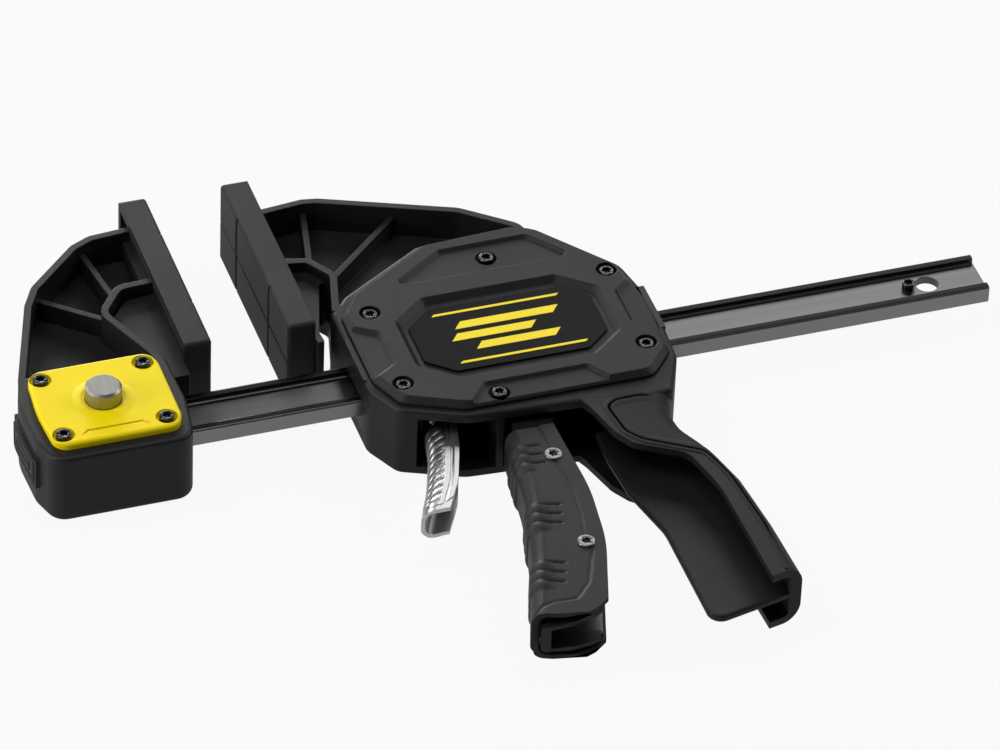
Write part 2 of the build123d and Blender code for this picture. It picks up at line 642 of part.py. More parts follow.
def handle_taper(inset):
    """Wedge that thins the handle towards its end, set in by a depth."""
    top = BODY_Z - inset
    end_y = HANDLE_END_Y - HANDLE_OVERRUN
    end = top - (HANDLE_TOP_Y - end_y) * HANDLE_TAPER
    profile = [(HANDLE_TOP_Y, top), (end_y, end), (end_y, -end), (HANDLE_TOP_Y, -top)]
    side = make_face(Polyline(*profile, close=True))
    return extrude(Plane.YZ.offset(BODY_LEFT) * side, 2 * BODY_RIGHT)


def handle_block(inset):
    """Solid over the whole handle, its surface set in by a depth and its back edges rounded."""
    palm_end = (HANDLE_PALM_END, handle_end(HANDLE_PALM_END) + inset, 0.0)
    back_end = (HANDLE_BACK_END - inset, handle_end(HANDLE_BACK_END) + inset, 0.0)
    back = [(x - inset, y, r) for x, y, r in HANDLE_BACK]
    side = outline(HANDLE_PALM + [palm_end, back_end] + back[::-1])
    body = prism(side, -BODY_Z, BODY_Z) & handle_taper(inset)
    end_limit = back_end[1] + 1

    def on_back(p):
        return end_limit < p.Y < HANDLE_TOP_Y - 1 and p.X > x_on(HANDLE_BACK, p.Y) - inset - 3

    return fillet(lying_edges(body, on_back), HANDLE_ROUND - inset)


def make_handle_grip():
    """Soft skin over the palm side of the handle and over both faces of its root."""
    far = BODY_RIGHT + 20
    low = HANDLE_END_Y - HANDLE_OVERRUN
    seam = GRIP_SEAM + [(far, GRIP_SEAM[-1][1], 0.0), (far, low, 0.0), (GRIP_SEAM[0][0] + 0.6, low, 0.0)]
    skin = handle_block(0.0) - handle_block(GRIP_SKIN)
    return skin & prism(outline(seam), -BODY_Z - 1, BODY_Z + 1)


def make_handle():
    """Handle's moulded frame: flanges, back wall and web."""
    low = HANDLE_END_Y - HANDLE_OVERRUN
    back = [(x - HANDLE_WALL, y, r) for x, y, r in HANDLE_BACK[1:]]
    top = BODY_OUTLINE[5][1]
    start = [(RELEASE_X, top, 0.0), (back[0][0], top, 0.0)]
    end = [(back[-1][0] + HANDLE_BACK_END - HANDLE_BACK[-1][0], low, 0.0), (RELEASE_X, low, 0.0)]
    hollow = prism(outline(start + back[1:] + end), -BODY_Z, BODY_Z) & handle_taper(HANDLE_FLANGE)

    def on_back(p):
        return low + 1 < p.Y < top - 1 and p.X > x_on(HANDLE_BACK, p.Y) - 2 * HANDLE_WALL

    hollow = fillet(lying_edges(hollow, on_back), HANDLE_ROUND - HANDLE_WALL)
    frame = handle_block(0.0) - hollow
    web_back = [(x - WEB_LAP, y, r) for x, y, r in HANDLE_BACK]
    corner = (HANDLE_BACK_END - WEB_LAP, handle_end(HANDLE_BACK_END - WEB_LAP), 0.5)
    web = outline(WEB_FRONT + [(WEB_END_X, HANDLE_END_Y, 5.0), corner] + web_back[::-1])
    web = prism(web, -HANDLE_WEB / 2, HANDLE_WEB / 2)
    web = fillet(lying_edges(web, lambda p: p.X < x_on(HANDLE_BACK, p.Y) - 3 * WEB_LAP), HANDLE_WEB_EDGE)
    return frame + web


# ---------------------------------------------------------------- main housing
def pivots():
    """Place, radius and boss reach of the two lever pivots."""
    return (
        (TRIGGER_X, TRIGGER_Y, TRIGGER_PIN_R, COVER_BASE - CHANNEL_Z - BUSH_WALL - SIDE_PLAY),
        (RELEASE_X, RELEASE_Y, RELEASE_PIN_R, COVER_BASE - RELEASE_Z - SIDE_PLAY),
    )


def make_housing():
    body_face = outline(BODY_OUTLINE)
    seat_face = outline(COVER_OUTLINE)
    body = prism(body_face, -BODY_Z, BODY_Z)
    body = fillet(body.edges().group_by(Axis.Z)[0], BODY_EDGE)
    body = fillet(body.edges().group_by(Axis.Z)[-1], BODY_TOP_EDGE)
    body = body + make_handle() - make_handle_grip()
    seat = prism(offset(seat_face, COVER_GAP), COVER_BASE, BODY_Z + 1)
    cavity_face = offset(seat_face, -COVER_LEDGE)
    body -= seat
    body -= prism(cavity_face, FLOOR_Z, COVER_BASE + 1)
    # posts for the cover screws
    for x, y in COVER_SCREWS:
        body += drum(x, y, POST_R, FLOOR_Z - BODY_FLOOR / 2, COVER_BASE) & prism(body_face, -BODY_Z, BODY_Z)
    # bottom panel that the clamp lies on, raised like the cover
    body += prism(offset(seat_face, -PANEL_INSET), -COVER_TOP, FLOOR_Z - BODY_FLOOR / 2)
    # fixed jaw and its pad carrier
    body += jaw_solid(FIXED_JAW, FIXED_RIBS) - seat - prism(cavity_face, FLOOR_Z, BODY_Z + 1)
    body += prism(outline(FIXED_SHELF), -RIB_WIDTH / 2, RIB_WIDTH / 2)
    body += carrier_plate(FIXED_BACK, -1, JAW_REACH - FIXED_TIP_DROP)
    # cross wall between brake and drive, with a window for the bar and the trigger's arms
    wall_end = CROSS_WALL_X + CROSS_WALL
    wall = block(CROSS_WALL_X, wall_end, MOUTH_EDGE, CROSS_WALL_TOP, FLOOR_Z - 0.1, COVER_BASE)
    window = CHANNEL_Z + MOUTH_GAP
    window_top = BAR_Y + MOUTH_GAP
    body += wall - block(CROSS_WALL_X - 1, wall_end + 1, CROSS_WINDOW_LOW, window_top, -window, window)
    # open front for the lever and the trigger
    front = BODY_OUTLINE[5][1]
    body -= block(*LEVER_MOUTH, front, LEVER_TOP, -LEVER_WINDOW, LEVER_WINDOW)
    half = TRIGGER_Z + MOUTH_GAP
    body -= block(MOUTH_LEFT, MOUTH_RIGHT, front, MOUTH_EDGE, -half, half)
    # seats of the two bar guides
    rear_seat = BODY_RIGHT - REAR_GUIDE_THICK
    for x0, x1 in ((BODY_LEFT - 1, BODY_LEFT + GUIDE_THICK), (rear_seat, BODY_RIGHT + 1)):
        body -= block(x0, x1, -GUIDE_Y, GUIDE_Y, GUIDE_LOW, BODY_Z + 1)
    # pivot bosses on the floor
    for x, y, r, reach in pivots():
        body += drum(x, y, r + BOSS_WALL, FLOOR_Z - BODY_FLOOR / 2, FLOOR_Z + reach)
        body -= drum(x, y, r, FLOOR_Z - PIN_SEAT, BODY_Z)
    for x, y in COVER_SCREWS:
        body -= drum(x, y, SCREW_SHANK_R + THREAD_GAP, FLOOR_Z - BODY_FLOOR, COVER_BASE + 1)
    return body


def sloped_recess(face, depth):
    """Cutter for a recess in the cover's top whose walls slope outwards."""
    return Pos(0, 0, COVER_TOP - depth) * extrude(face, depth + 1, dir=(0, 0, 1), taper=-RELIEF_SLOPE)


def make_cover():
    cover = prism(outline(COVER_OUTLINE), COVER_BASE, COVER_TOP)
    cover = chamfer(cover.edges().group_by(Axis.Z)[-1], COVER_CHAMFER)
    label_seat = outline(octagon(LABEL_CENTER, RECESS_HALF, RECESS_CORNER, RECESS_ROUND))
    cover -= sloped_recess(label_seat, LABEL_RECESS)
    for shape in RELIEFS:
        cover -= sloped_recess(outline(shape), RELIEF_DEPTH)
    pocket = COVER_TOP - SCREW_HEAD - COVER_SCREW_SINK
    for x, y in COVER_SCREWS:
        cover -= drum(x, y, SCREW_HEAD_R + SCREW_POCKET, pocket, COVER_TOP + 1)
        cover -= drum(x, y, SCREW_SHANK_R + SCREW_GAP, COVER_BASE - 1, COVER_TOP + 1)
    # pivot bosses on the inside
    for x, y, r, reach in pivots():
        cover += drum(x, y, r + BOSS_WALL, COVER_BASE - reach, COVER_BASE + 0.1)
        cover -= drum(x, y, r, COVER_BASE - reach - 1, COVER_BASE + PIN_SEAT)
    return cover


def make_label():
    low = COVER_TOP - LABEL_RECESS
    face = outline(octagon(LABEL_CENTER, LABEL_HALF, LABEL_CORNER, LABEL_ROUND))
    return prism(face, low, low + LABEL_THICK)


def make_cover_screws():
    return [socket_screw(x, y, COVER_TOP - COVER_SCREW_SINK, SCREW_LENGTH) for x, y in COVER_SCREWS]


def make_guide(outer, inner):
    """Bar guide insert, dropped into its seat in the body's end wall; its lip shows beside the cover."""
    side = 1 if inner > outer else -1
    half = GUIDE_Y - SEAT_GAP
    seat = inner - side * SEAT_GAP
    lip = outer + side * GUIDE_LAP
    low = GUIDE_LOW + SEAT_GAP
    guide = block(min(outer, seat), max(outer, seat), -half, half, low, COVER_BASE - SEAT_GAP)
    guide += block(min(outer, lip), max(outer, lip), -half, half, low, BODY_Z)
    return guide - bar_tunnel(BODY_LEFT - 1, BODY_RIGHT + 1, SLIDE_GAP)


def make_pin(x, y, r):
    """Pivot pin, held at both ends in the bosses of housing and cover."""
    pin = drum(x, y, r, FLOOR_Z - PIN_SEAT, COVER_BASE + PIN_SEAT)
    return chamfer(pin.edges().filter_by(GeomType.CIRCLE), PIN_CHAMFER)


# ---------------------------------------------------------------- drive and brake
def make_plate(x, tilt):
    """Hardened plate with a window for the bar, tilted about its fulcrum edge."""
    high, wide = BAR_Y + PLATE_EAR, PLATE_WIDTH / 2
    plate = block(-PLATE_THICK / 2, PLATE_THICK / 2, -high, high, -wide, wide)
    window_y, window_z = BAR_Y + PLATE_GAP, BAR_Z + PLATE_GAP
    plate -= block(-PLATE_THICK, PLATE_THICK, -window_y, window_y, -window_z, window_z)
    plate = fillet(plate.edges().filter_by(Axis.X), PLATE_EDGE)
    return Pos(x, BRAKE_FULCRUM_Y, 0) * Rot(0, 0, -tilt) * Pos(0, -BRAKE_FULCRUM_Y, 0) * plate


def make_bar_spring(x0, x1, turns):
    return coil_spring(x0, 0, 0, (1, 0, 0), x1 - x0, turns, SPRING_R, SPRING_WIRE)


# ---------------------------------------------------------------- levers
def lever_outline(front, back, inset_front, inset_back, top, foot, bend):
    """Side view of a curved lever between two heights, its two long edges moved inwards."""
    near = [(x_on(front, top), top)] + front[1:-1] + [(x_on(front, foot), foot)]
    far = [(x_on(back, top), top)] + back[1:-1] + [(x_on(back, foot), foot)]
    radii = [0.0] + [bend] * (len(front) - 2) + [0.0]
    loop = [(x + inset_front, y, r) for (x, y), r in zip(near, radii)]
    loop += [(x - inset_back, y, r) for (x, y), r in zip(far[::-1], radii[::-1])]
    return outline(loop)


def round_nose(solid, front, radius):
    """Round the two long edges on a lever's front."""
    return fillet(lying_edges(solid, lambda p: p.X < x_on(front, p.Y) + 1.5), radius)


def make_trigger_grip():
    """Moulded shell, open at the back, over the steel channel."""
    front, back = TRIGGER_FRONT, TRIGGER_BACK
    outer = lever_outline(front, back, 0.0, 0.0, TRIGGER_TOP, TRIGGER_FOOT, TRIGGER_BEND)
    shell = round_nose(prism(outer, -TRIGGER_Z, TRIGGER_Z), front, TRIGGER_ROUND)
    shell += prism(make_face(Polyline(*TRIGGER_HEEL, close=True)), -TRIGGER_Z, TRIGGER_Z)
    over = LEVER_OVERRUN
    top, foot = TRIGGER_TOP + over, TRIGGER_FOOT - over
    inner = lever_outline(front, back, TRIGGER_NOSE, -over, top, foot, TRIGGER_BEND)
    half = CHANNEL_Z + CHANNEL_FIT
    shell -= prism(inner, -half, half)
    for x, y in TRIGGER_SCREWS:
        shell -= drum(x, y, SCREW_SHANK_R + SCREW_GAP, -TRIGGER_Z - 1, TRIGGER_Z + 1)
    return shell


def make_trigger_channel():
    """Folded steel channel: its arms straddle the bar and hang on the pivot pin."""
    front, back = TRIGGER_FRONT, TRIGGER_BACK
    nose = TRIGGER_NOSE + CHANNEL_FIT
    top, foot, over = TRIGGER_TOP + CHANNEL_TOP, TRIGGER_FOOT + CHANNEL_FOOT, LEVER_OVERRUN
    lower = lever_outline(front, back, nose, CHANNEL_INSET, top, foot, TRIGGER_BEND)
    hollow = lever_outline(front, back, nose + CHANNEL_SHEET, -over, top + over, foot - over, TRIGGER_BEND)
    inner = CHANNEL_Z - CHANNEL_SHEET
    body = twin(lower, inner, CHANNEL_Z) + twin(outline(TRIGGER_ARM), inner, CHANNEL_Z)
    body += prism(lower - hollow, -CHANNEL_Z, CHANNEL_Z)
    body -= drum(TRIGGER_X, TRIGGER_Y, TRIGGER_PIN_R + BUSH_WALL, -BODY_Z, BODY_Z)
    for x, y in TRIGGER_SCREWS:
        body -= drum(x, y, SCREW_SHANK_R + THREAD_GAP, -TRIGGER_Z - 1, TRIGGER_Z + 1)
    return body


def make_trigger_bushes():
    """Flanged bushes pressed into the two arms."""
    x, y, r = TRIGGER_X, TRIGGER_Y, TRIGGER_PIN_R + BUSH_WALL
    bush = drum(x, y, r, CHANNEL_Z - CHANNEL_SHEET, CHANNEL_Z)
    bush += drum(x, y, r + BUSH_FLANGE, CHANNEL_Z, CHANNEL_Z + BUSH_WALL)
    bush -= drum(x, y, TRIGGER_PIN_R + PIN_GAP, 0, BODY_Z)
    return [bush, mirror(bush, about=Plane.XY)]


def make_trigger_screws():
    """Flat head screws on both sides, through the shell into the channel's wall."""
    top = TRIGGER_Z + TRIGGER_SCREW_PROUD
    hexagon = extrude(RegularPolygon(TRIGGER_SOCKET_R, 6), 2 * TRIGGER_SOCKET)
    socket = Pos(0, 0, top - TRIGGER_SOCKET) * hexagon
    screw = drum(0, 0, SCREW_SHANK_R, CHANNEL_Z - CHANNEL_SHEET, TRIGGER_Z)
    screw = screw + drum(0, 0, TRIGGER_SCREW_HEAD_R, TRIGGER_Z, top) - socket
    upper = [Pos(x, y, 0) * screw for x, y in TRIGGER_SCREWS]
    return upper + [mirror(one, about=Plane.XY) for one in upper]


def make_release_lever():
    """Pressed steel lever: a channel for the finger, two arms up to its pivot."""
    front, back = LEVER_FRONT, LEVER_BACK
    over = LEVER_OVERRUN
    outer = lever_outline(front, back, 0.0, 0.0, LEVER_TOP, LEVER_FOOT, LEVER_BEND)
    top, foot = LEVER_TOP + over, LEVER_FOOT - over
    hollow = lever_outline(front, back, RELEASE_SHEET, -over, top, foot, LEVER_BEND)
    inner = RELEASE_Z - RELEASE_SHEET
    shell = prism(outer, -RELEASE_Z, RELEASE_Z)
    shell = round_nose(shell, front, RELEASE_ROUND)
    shell -= round_nose(prism(hollow, -inner, inner), front, RELEASE_ROUND - RELEASE_SHEET)
    body = shell + twin(outline(LEVER_ARM), inner, RELEASE_Z)
    return body - drum(RELEASE_X, RELEASE_Y, RELEASE_PIN_R + PIN_GAP, -BODY_Z, BODY_Z)


# ---------------------------------------------------------------- write every node
def main():
    os.makedirs("parts", exist_ok=True)
    stop_screw, stop_nut = make_stop()
    save(make_bar(), "bar")
    save(stop_screw, "stop_screw")
    save(stop_nut, "stop_nut")
    save(make_head(), "head_housing")
    save(make_head_cover(), "head_cover")
    save(Compound(children=make_head_screws()), "head_screws")
    save(make_button(), "lock_button")
    save(make_lock_spring(), "lock_spring")
    save(make_pad(MOVING_FACE, MOVING_BACK), "moving_pad")
    save(make_pad(0.0, FIXED_BACK), "fixed_pad")
    save(make_housing(), "main_housing")
    save(make_handle_grip(), "handle_grip")
    save(make_cover(), "body_cover")
    save(make_label(), "label_panel")
    save(Compound(children=make_cover_screws()), "cover_screws")
    rear_guide_x = BODY_RIGHT - REAR_GUIDE_THICK
    save(make_guide(BODY_LEFT, BODY_LEFT + GUIDE_THICK), "front_guide")
    save(make_guide(BODY_RIGHT, rear_guide_x), "rear_guide")
    save(make_pin(TRIGGER_X, TRIGGER_Y, TRIGGER_PIN_R), "trigger_pin")
    save(make_pin(RELEASE_X, RELEASE_Y, RELEASE_PIN_R), "release_pin")
    save(make_plate(DRIVE_X, 0.0), "drive_plate_front")
    save(make_plate(DRIVE_X + PLATE_THICK, 0.0), "drive_plate_rear")
    save(make_plate(BRAKE_X, BRAKE_TILT), "brake_plate_front")
    save(make_plate(BRAKE_X + BRAKE_STEP, BRAKE_TILT), "brake_plate_rear")
    save(make_bar_spring(DRIVE_X + 1.5 * PLATE_THICK, rear_guide_x + SEAT_GAP, DRIVE_COILS), "drive_spring")
    brake_back = BRAKE_X + 1.5 * BRAKE_STEP + PLATE_THICK / 2
    save(make_bar_spring(brake_back, CROSS_WALL_X, BRAKE_COILS), "brake_spring")
    save(make_trigger_channel(), "trigger_channel")
    save(make_trigger_grip(), "trigger_grip")
    save(Compound(children=make_trigger_bushes()), "trigger_bushes")
    save(Compound(children=make_trigger_screws()), "trigger_screws")
    save(make_release_lever(), "release_lever")


main()
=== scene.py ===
from functools import partial
from math import cos, pi, radians, sin
import bmesh
import bpy
import numpy as np
from mathutils import Matrix, Vector


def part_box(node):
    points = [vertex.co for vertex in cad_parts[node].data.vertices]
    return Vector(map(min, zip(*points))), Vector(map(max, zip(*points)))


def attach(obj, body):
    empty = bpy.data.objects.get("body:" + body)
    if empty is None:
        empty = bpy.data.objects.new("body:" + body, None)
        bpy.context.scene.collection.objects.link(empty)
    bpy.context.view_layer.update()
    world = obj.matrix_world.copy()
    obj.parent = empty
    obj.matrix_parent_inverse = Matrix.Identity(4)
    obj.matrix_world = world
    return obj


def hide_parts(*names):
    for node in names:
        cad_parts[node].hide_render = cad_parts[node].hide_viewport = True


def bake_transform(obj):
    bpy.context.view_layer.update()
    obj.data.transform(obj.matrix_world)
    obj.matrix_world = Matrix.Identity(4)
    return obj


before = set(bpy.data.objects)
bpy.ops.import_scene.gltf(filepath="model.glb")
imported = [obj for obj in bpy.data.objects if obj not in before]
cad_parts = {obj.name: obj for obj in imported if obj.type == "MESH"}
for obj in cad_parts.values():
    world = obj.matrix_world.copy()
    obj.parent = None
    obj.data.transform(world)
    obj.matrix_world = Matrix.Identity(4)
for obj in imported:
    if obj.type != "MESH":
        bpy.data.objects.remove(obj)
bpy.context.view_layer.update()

# ---- Table, lamps and camera
# The clamp lies on its side on a pale table, lit softly from above as in a small studio.
# The camera stands well back with a long lens, so the bar and the handle keep their proportions.
TABLE_GAP = 0.0002
TABLE_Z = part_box("main_housing")[0].z - TABLE_GAP
TABLE_HALF = 6.0
TABLE_COLOUR = (0.4, 0.4, 0.4, 1.0)
TABLE_WHITE = 0.93  # share of plain white in the table as the camera sees it
TABLE_GLINT = 0.45  # part of that white which glossy faces mirror
WHITE = (1.0, 1.0, 1.0, 1.0)
ROOM_LIGHT = 0.035
LAMP_AIM = Vector((0.05, 0.0, 0.0))
LAMP_AWAY = 1.2
LAMP_SIZE = 0.5
LAMPS = [  # name, direction round the clamp and height above the table in degrees, watts
    ("back", 90.0, 14.0, 7.4),
    ("back_left", 135.0, 14.0, 2.6),
    ("back_right", 60.0, 34.0, 2.2),
    ("left", 180.0, 14.0, 6.0),
    ("left_high", 180.0, 58.0, 4.0),
    ("right", 0.0, 34.0, 4.6),
    ("front_left", 225.0, 14.0, 0.6),
    ("top", 0.0, 90.0, 2.4),
]
CAMERA_TURN = radians(19.57)
CAMERA_HEIGHT = radians(39.07)
CAMERA_ROLL = radians(2.36)
CAMERA_DISTANCE = 2.44535
CAMERA_REACH = 50.0
SENSOR = 36.0
FOCAL = 7030.0  # in pixels of a frame 1000 wide
AIM = (304.696, 399.878)
FRAME_SIZE = (1000, 750)


def add_node(tree, kind, settings=None, **sockets):
    """A shader node; each socket, by its name or as i0, i1, i2, takes a value or an output."""
    made = tree.nodes.new("ShaderNode" + kind)
    for key, value in (settings or {}).items():
        setattr(made, key, value)
    for key, value in sockets.items():
        at = int(key[1:]) if key[0] == "i" and key[1:].isdigit() else key.replace("_", " ")
        if isinstance(value, bpy.types.NodeSocket):
            tree.links.new(value, made.inputs[at])
        else:
            made.inputs[at].default_value = value
    return made


table_mesh = bpy.data.meshes.new("table")
corners = [(-TABLE_HALF, -TABLE_HALF, TABLE_Z), (TABLE_HALF, -TABLE_HALF, TABLE_Z)]
corners += [(TABLE_HALF, TABLE_HALF, TABLE_Z), (-TABLE_HALF, TABLE_HALF, TABLE_Z)]
table_mesh.from_pydata(corners, [], [(0, 1, 2, 3)])
table = bpy.data.objects.new("table", table_mesh)
bpy.context.scene.collection.objects.link(table)

paper = bpy.data.materials.new("table_paper")
paper.use_nodes = True
tree = paper.node_tree
tree.nodes.clear()
rays = add_node(tree, "LightPath").outputs
glint = add_node(tree, "Math", {"operation": "MULTIPLY"}, i0=rays["Is Glossy Ray"], i1=TABLE_GLINT)
seen = add_node(tree, "Math", {"operation": "MAXIMUM"}, i0=rays["Is Camera Ray"],
                i1=glint.outputs[0])
share = add_node(tree, "Math", {"operation": "MULTIPLY"}, i0=seen.outputs[0], i1=TABLE_WHITE)
matt = add_node(tree, "BsdfDiffuse", Color=TABLE_COLOUR)
glow = add_node(tree, "Emission", Color=WHITE, Strength=1.0)
mix = add_node(tree, "MixShader", i0=share.outputs[0], i1=matt.outputs[0], i2=glow.outputs[0])
add_node(tree, "OutputMaterial", Surface=mix.outputs[0])
table_mesh.materials.append(paper)

world = bpy.data.worlds.new("studio")
bpy.context.scene.world = world
world.use_nodes = True
tree = world.node_tree
tree.nodes.clear()
room = add_node(tree, "Background", Color=WHITE, Strength=ROOM_LIGHT)
backdrop = add_node(tree, "Background", Color=WHITE, Strength=1.0)
rays = add_node(tree, "LightPath").outputs
mix = add_node(tree, "MixShader", i0=rays["Is Camera Ray"], i1=room.outputs[0],
               i2=backdrop.outputs[0])
add_node(tree, "OutputWorld", Surface=mix.outputs[0])

for name, turn, height, power in LAMPS:
    lamp_data = bpy.data.lights.new(name, "AREA")
    lamp_data.shape = "SQUARE"
    lamp_data.size = LAMP_SIZE
    lamp_data.energy = power
    lamp = bpy.data.objects.new(name, lamp_data)
    turn, height = radians(turn), radians(height)
    away = Vector((cos(height) * cos(turn), cos(height) * sin(turn), sin(height))) * LAMP_AWAY
    lamp.location = LAMP_AIM + away
    lamp.rotation_mode = "QUATERNION"
    lamp.rotation_quaternion = (-away).to_track_quat("-Z", "Y")
    bpy.context.scene.collection.objects.link(lamp)

flat = cos(CAMERA_HEIGHT)
ahead = Vector((sin(CAMERA_TURN) * flat, cos(CAMERA_TURN) * flat, -sin(CAMERA_HEIGHT)))
level = Vector((cos(CAMERA_TURN), -sin(CAMERA_TURN), 0.0))
upright = level.cross(ahead)
right = level * cos(CAMERA_ROLL) + upright * sin(CAMERA_ROLL)
up = upright * cos(CAMERA_ROLL) - level * sin(CAMERA_ROLL)
off_right = (AIM[0] - FRAME_SIZE[0] / 2) / FOCAL
off_up = (FRAME_SIZE[1] / 2 - AIM[1]) / FOCAL
eye = -CAMERA_DISTANCE * (ahead + off_right * right + off_up * up)
camera_data = bpy.data.cameras.new("camera")
camera_data.sensor_width = SENSOR
camera_data.lens = FOCAL / FRAME_SIZE[0] * SENSOR
camera_data.clip_end = CAMERA_REACH
camera = bpy.data.objects.new("camera", camera_data)
turned_frame = Matrix((right, up, -ahead)).transposed()
camera.matrix_world = Matrix.Translation(eye) @ turned_frame.to_4x4()
bpy.context.scene.collection.objects.link(camera)
bpy.context.scene.camera = camera
bpy.context.scene.view_settings.view_transform = "Standard"

# ---- Bar
# A rolled I-section of carbon steel, 20 mm high, blackened in a hot oxide bath and oiled.
# Its channel is grey oxide; its flanges are painted near black as painted shade, and its outer
# edges lighter as a painted highlight.
OXIDE = (0.15, 0.15, 0.152, 1.0)
OXIDE_WORN = (0.2, 0.198, 0.195, 1.0)
OXIDE_GLOSS = (0.27, 0.34)
ROLLING_LINES = 600.0  # to the metre
ROLLING_DETAIL = 1.0
ROLLED = (0.02, 1.0, 1.0)  # lines drawn out along the bar
ROLLING_BUMP = 0.02
WEAR_PATCHES = 60.0
WEAR_DETAIL = 6.0
WEAR_STRETCH = (0.4, 1.0, 1.0)
WEAR_SPAN = (0.52, 0.8)  # of the noise, from sound oxide to worn
STEEL_BUMP_DEPTH = 0.0002
EDGE_SAMPLES = 4
BAR_EDGE = 0.0006
BAR_HALF = 0.01
CHANNEL_OXIDE = (0.11, 0.12)  # grey of the channel, at its middle and beside the flanges
CHANNEL_END = (0.7, 0.73)  # in shares of BAR_HALF, as the next is
FLANGE_END = (0.92, 0.97)
# painted shade: the flanges darkened to near black
FLANGE_PAINTED_SHADE = 0.012
# painted highlight: the outer edges lightened as if the pale table shone in them
EDGE_PAINTED_HIGHLIGHT = 0.25


def new_material(name):
    """An empty material, its principled shader, a call that adds nodes to it, and its links."""
    material = bpy.data.materials.new(name)
    material.use_nodes = True
    tree = material.node_tree
    return material, tree.nodes["Principled BSDF"], partial(add_node, tree), tree.links


def stretched_noise(add, stretch, scale, detail, rough=0.55):
    """Noise over the object, drawn out along the axes by the three stretch factors."""
    place = add("TexCoord").outputs["Object"]
    scaled = add("Mapping", Vector=place, Scale=stretch).outputs[0]
    return add("TexNoise", Vector=scaled, Scale=scale, Detail=detail, Roughness=rough).outputs[0]


def ramp(add, value, stops):
    """Colour ramp from (position, colour) stops."""
    stops = list(stops)
    made = add("ValToRGB", Fac=value)
    marks = made.color_ramp.elements
    while len(marks) < len(stops):
        marks.new(0.5)
    for mark, (position, colour) in zip(marks, stops):
        mark.position = position
        mark.color = colour
    return made.outputs["Color"]


def grey(level):
    """An even grey."""
    return (level, level, level, 1.0)


def across_the_bar(add, bands):
    """Colour by the distance from the bar's middle line, as a share of half its height."""
    across = add("SeparateXYZ", Vector=add("TexCoord").outputs["Object"]).outputs["Y"]
    away = add("Math", {"operation": "ABSOLUTE"}, Value=across).outputs[0]
    share = add("MapRange", Value=away, From_Max=BAR_HALF).outputs[0]
    return ramp(add, share, bands)


def broken_gloss(add, links, shader, texture, gloss, strength, depth, edge):
    """Roughness and a low bump from one texture, over edges that the shader rounds."""
    spread = add("MapRange", Value=texture, To_Min=gloss[0], To_Max=gloss[1])
    links.new(spread.outputs[0], shader.inputs["Roughness"])
    rounded = add("Bevel", {"samples": EDGE_SAMPLES}, Radius=edge).outputs[0]
    bump = add("Bump", Height=texture, Strength=strength, Distance=depth, Normal=rounded)
    links.new(bump.outputs[0], shader.inputs["Normal"])


def oxide_finish(name, stretch, edge, bands=()):
    """Blackened steel: dark with patches of wear, or with bands across it of grey oxide, painted
    shade and a painted highlight; gloss broken by lines.
    """
    material, shader, add, links = new_material(name)
    if bands:
        colour = across_the_bar(add, bands)
    else:
        patches = stretched_noise(add, WEAR_STRETCH, WEAR_PATCHES, WEAR_DETAIL)
        colour = ramp(add, patches, zip(WEAR_SPAN, (OXIDE, OXIDE_WORN)))
    links.new(colour, shader.inputs["Base Color"])
    lines = stretched_noise(add, stretch, ROLLING_LINES, ROLLING_DETAIL)
    broken_gloss(add, links, shader, lines, OXIDE_GLOSS, ROLLING_BUMP, STEEL_BUMP_DEPTH, edge)
    shader.inputs["Metallic"].default_value = 1.0
    return material


def dress(node, material):
    """Give a CAD node its finish."""
    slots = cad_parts[node].data.materials
    slots.clear()
    slots.append(material)


# Bands across the bar: grey oxide in the channel, painted shade over the flanges and a painted
# highlight along the outer edges.
band_ends = (0.0, *CHANNEL_END, *FLANGE_END)
band_greys = (*CHANNEL_OXIDE, FLANGE_PAINTED_SHADE, FLANGE_PAINTED_SHADE, EDGE_PAINTED_HIGHLIGHT)
bar_bands = list(zip(band_ends, map(grey, band_greys)))
rolled_oxide = oxide_finish("rolled_oxide", ROLLED, BAR_EDGE, bar_bands)
dress("bar", rolled_oxide)

# ---- Body, cover and head mouldings
# Glass-filled nylon, injection moulded in black, in a tool with a fine spark-eroded texture.
# Edges are softly broken, and the colour is a little cloudy.
NYLON = (0.0085, 0.0085, 0.009, 1.0)
NYLON_RUBBED = (0.013, 0.013, 0.0135, 1.0)
NYLON_ROUGH = 0.46
NYLON_GRAIN = 2200.0  # sparks to the metre
NYLON_BUMP = 0.16
NYLON_EDGE = 0.0005
EVENLY = (1.0, 1.0, 1.0)
CLOUDS = 35.0
CLOUD_DETAIL = 3.0
CLOUD_SPAN = (0.35, 0.7)  # of the noise, from plain to rubbed
SPARK_DETAIL = 2.0
SPARK_HARSHNESS = 0.7
MOULD_GLOSS = (-0.07, 0.09)  # spread of the roughness about its middle
MOULD_BUMP_DEPTH = 0.0003


def moulded_finish(name, dark, rubbed, rough, grain, strength, edge, specular=0.28):
    """Moulded plastic: cloudy colour, with a spark texture in its gloss and its bump."""
    material, shader, add, links = new_material(name)
    clouds = stretched_noise(add, EVENLY, CLOUDS, CLOUD_DETAIL)
    tint = ramp(add, clouds, zip(CLOUD_SPAN, (dark, rubbed)))
    links.new(tint, shader.inputs["Base Color"])
    sparks = stretched_noise(add, EVENLY, grain, SPARK_DETAIL, SPARK_HARSHNESS)
    gloss = (rough + MOULD_GLOSS[0], rough + MOULD_GLOSS[1])
    broken_gloss(add, links, shader, sparks, gloss, strength, MOULD_BUMP_DEPTH, edge)
    shader.inputs["Specular IOR Level"].default_value = specular
    return material


nylon = moulded_finish("textured_nylon", NYLON, NYLON_RUBBED, NYLON_ROUGH, NYLON_GRAIN,
                       NYLON_BUMP, NYLON_EDGE)
for node in ("head_housing", "main_housing", "body_cover"):
    dress(node, nylon)

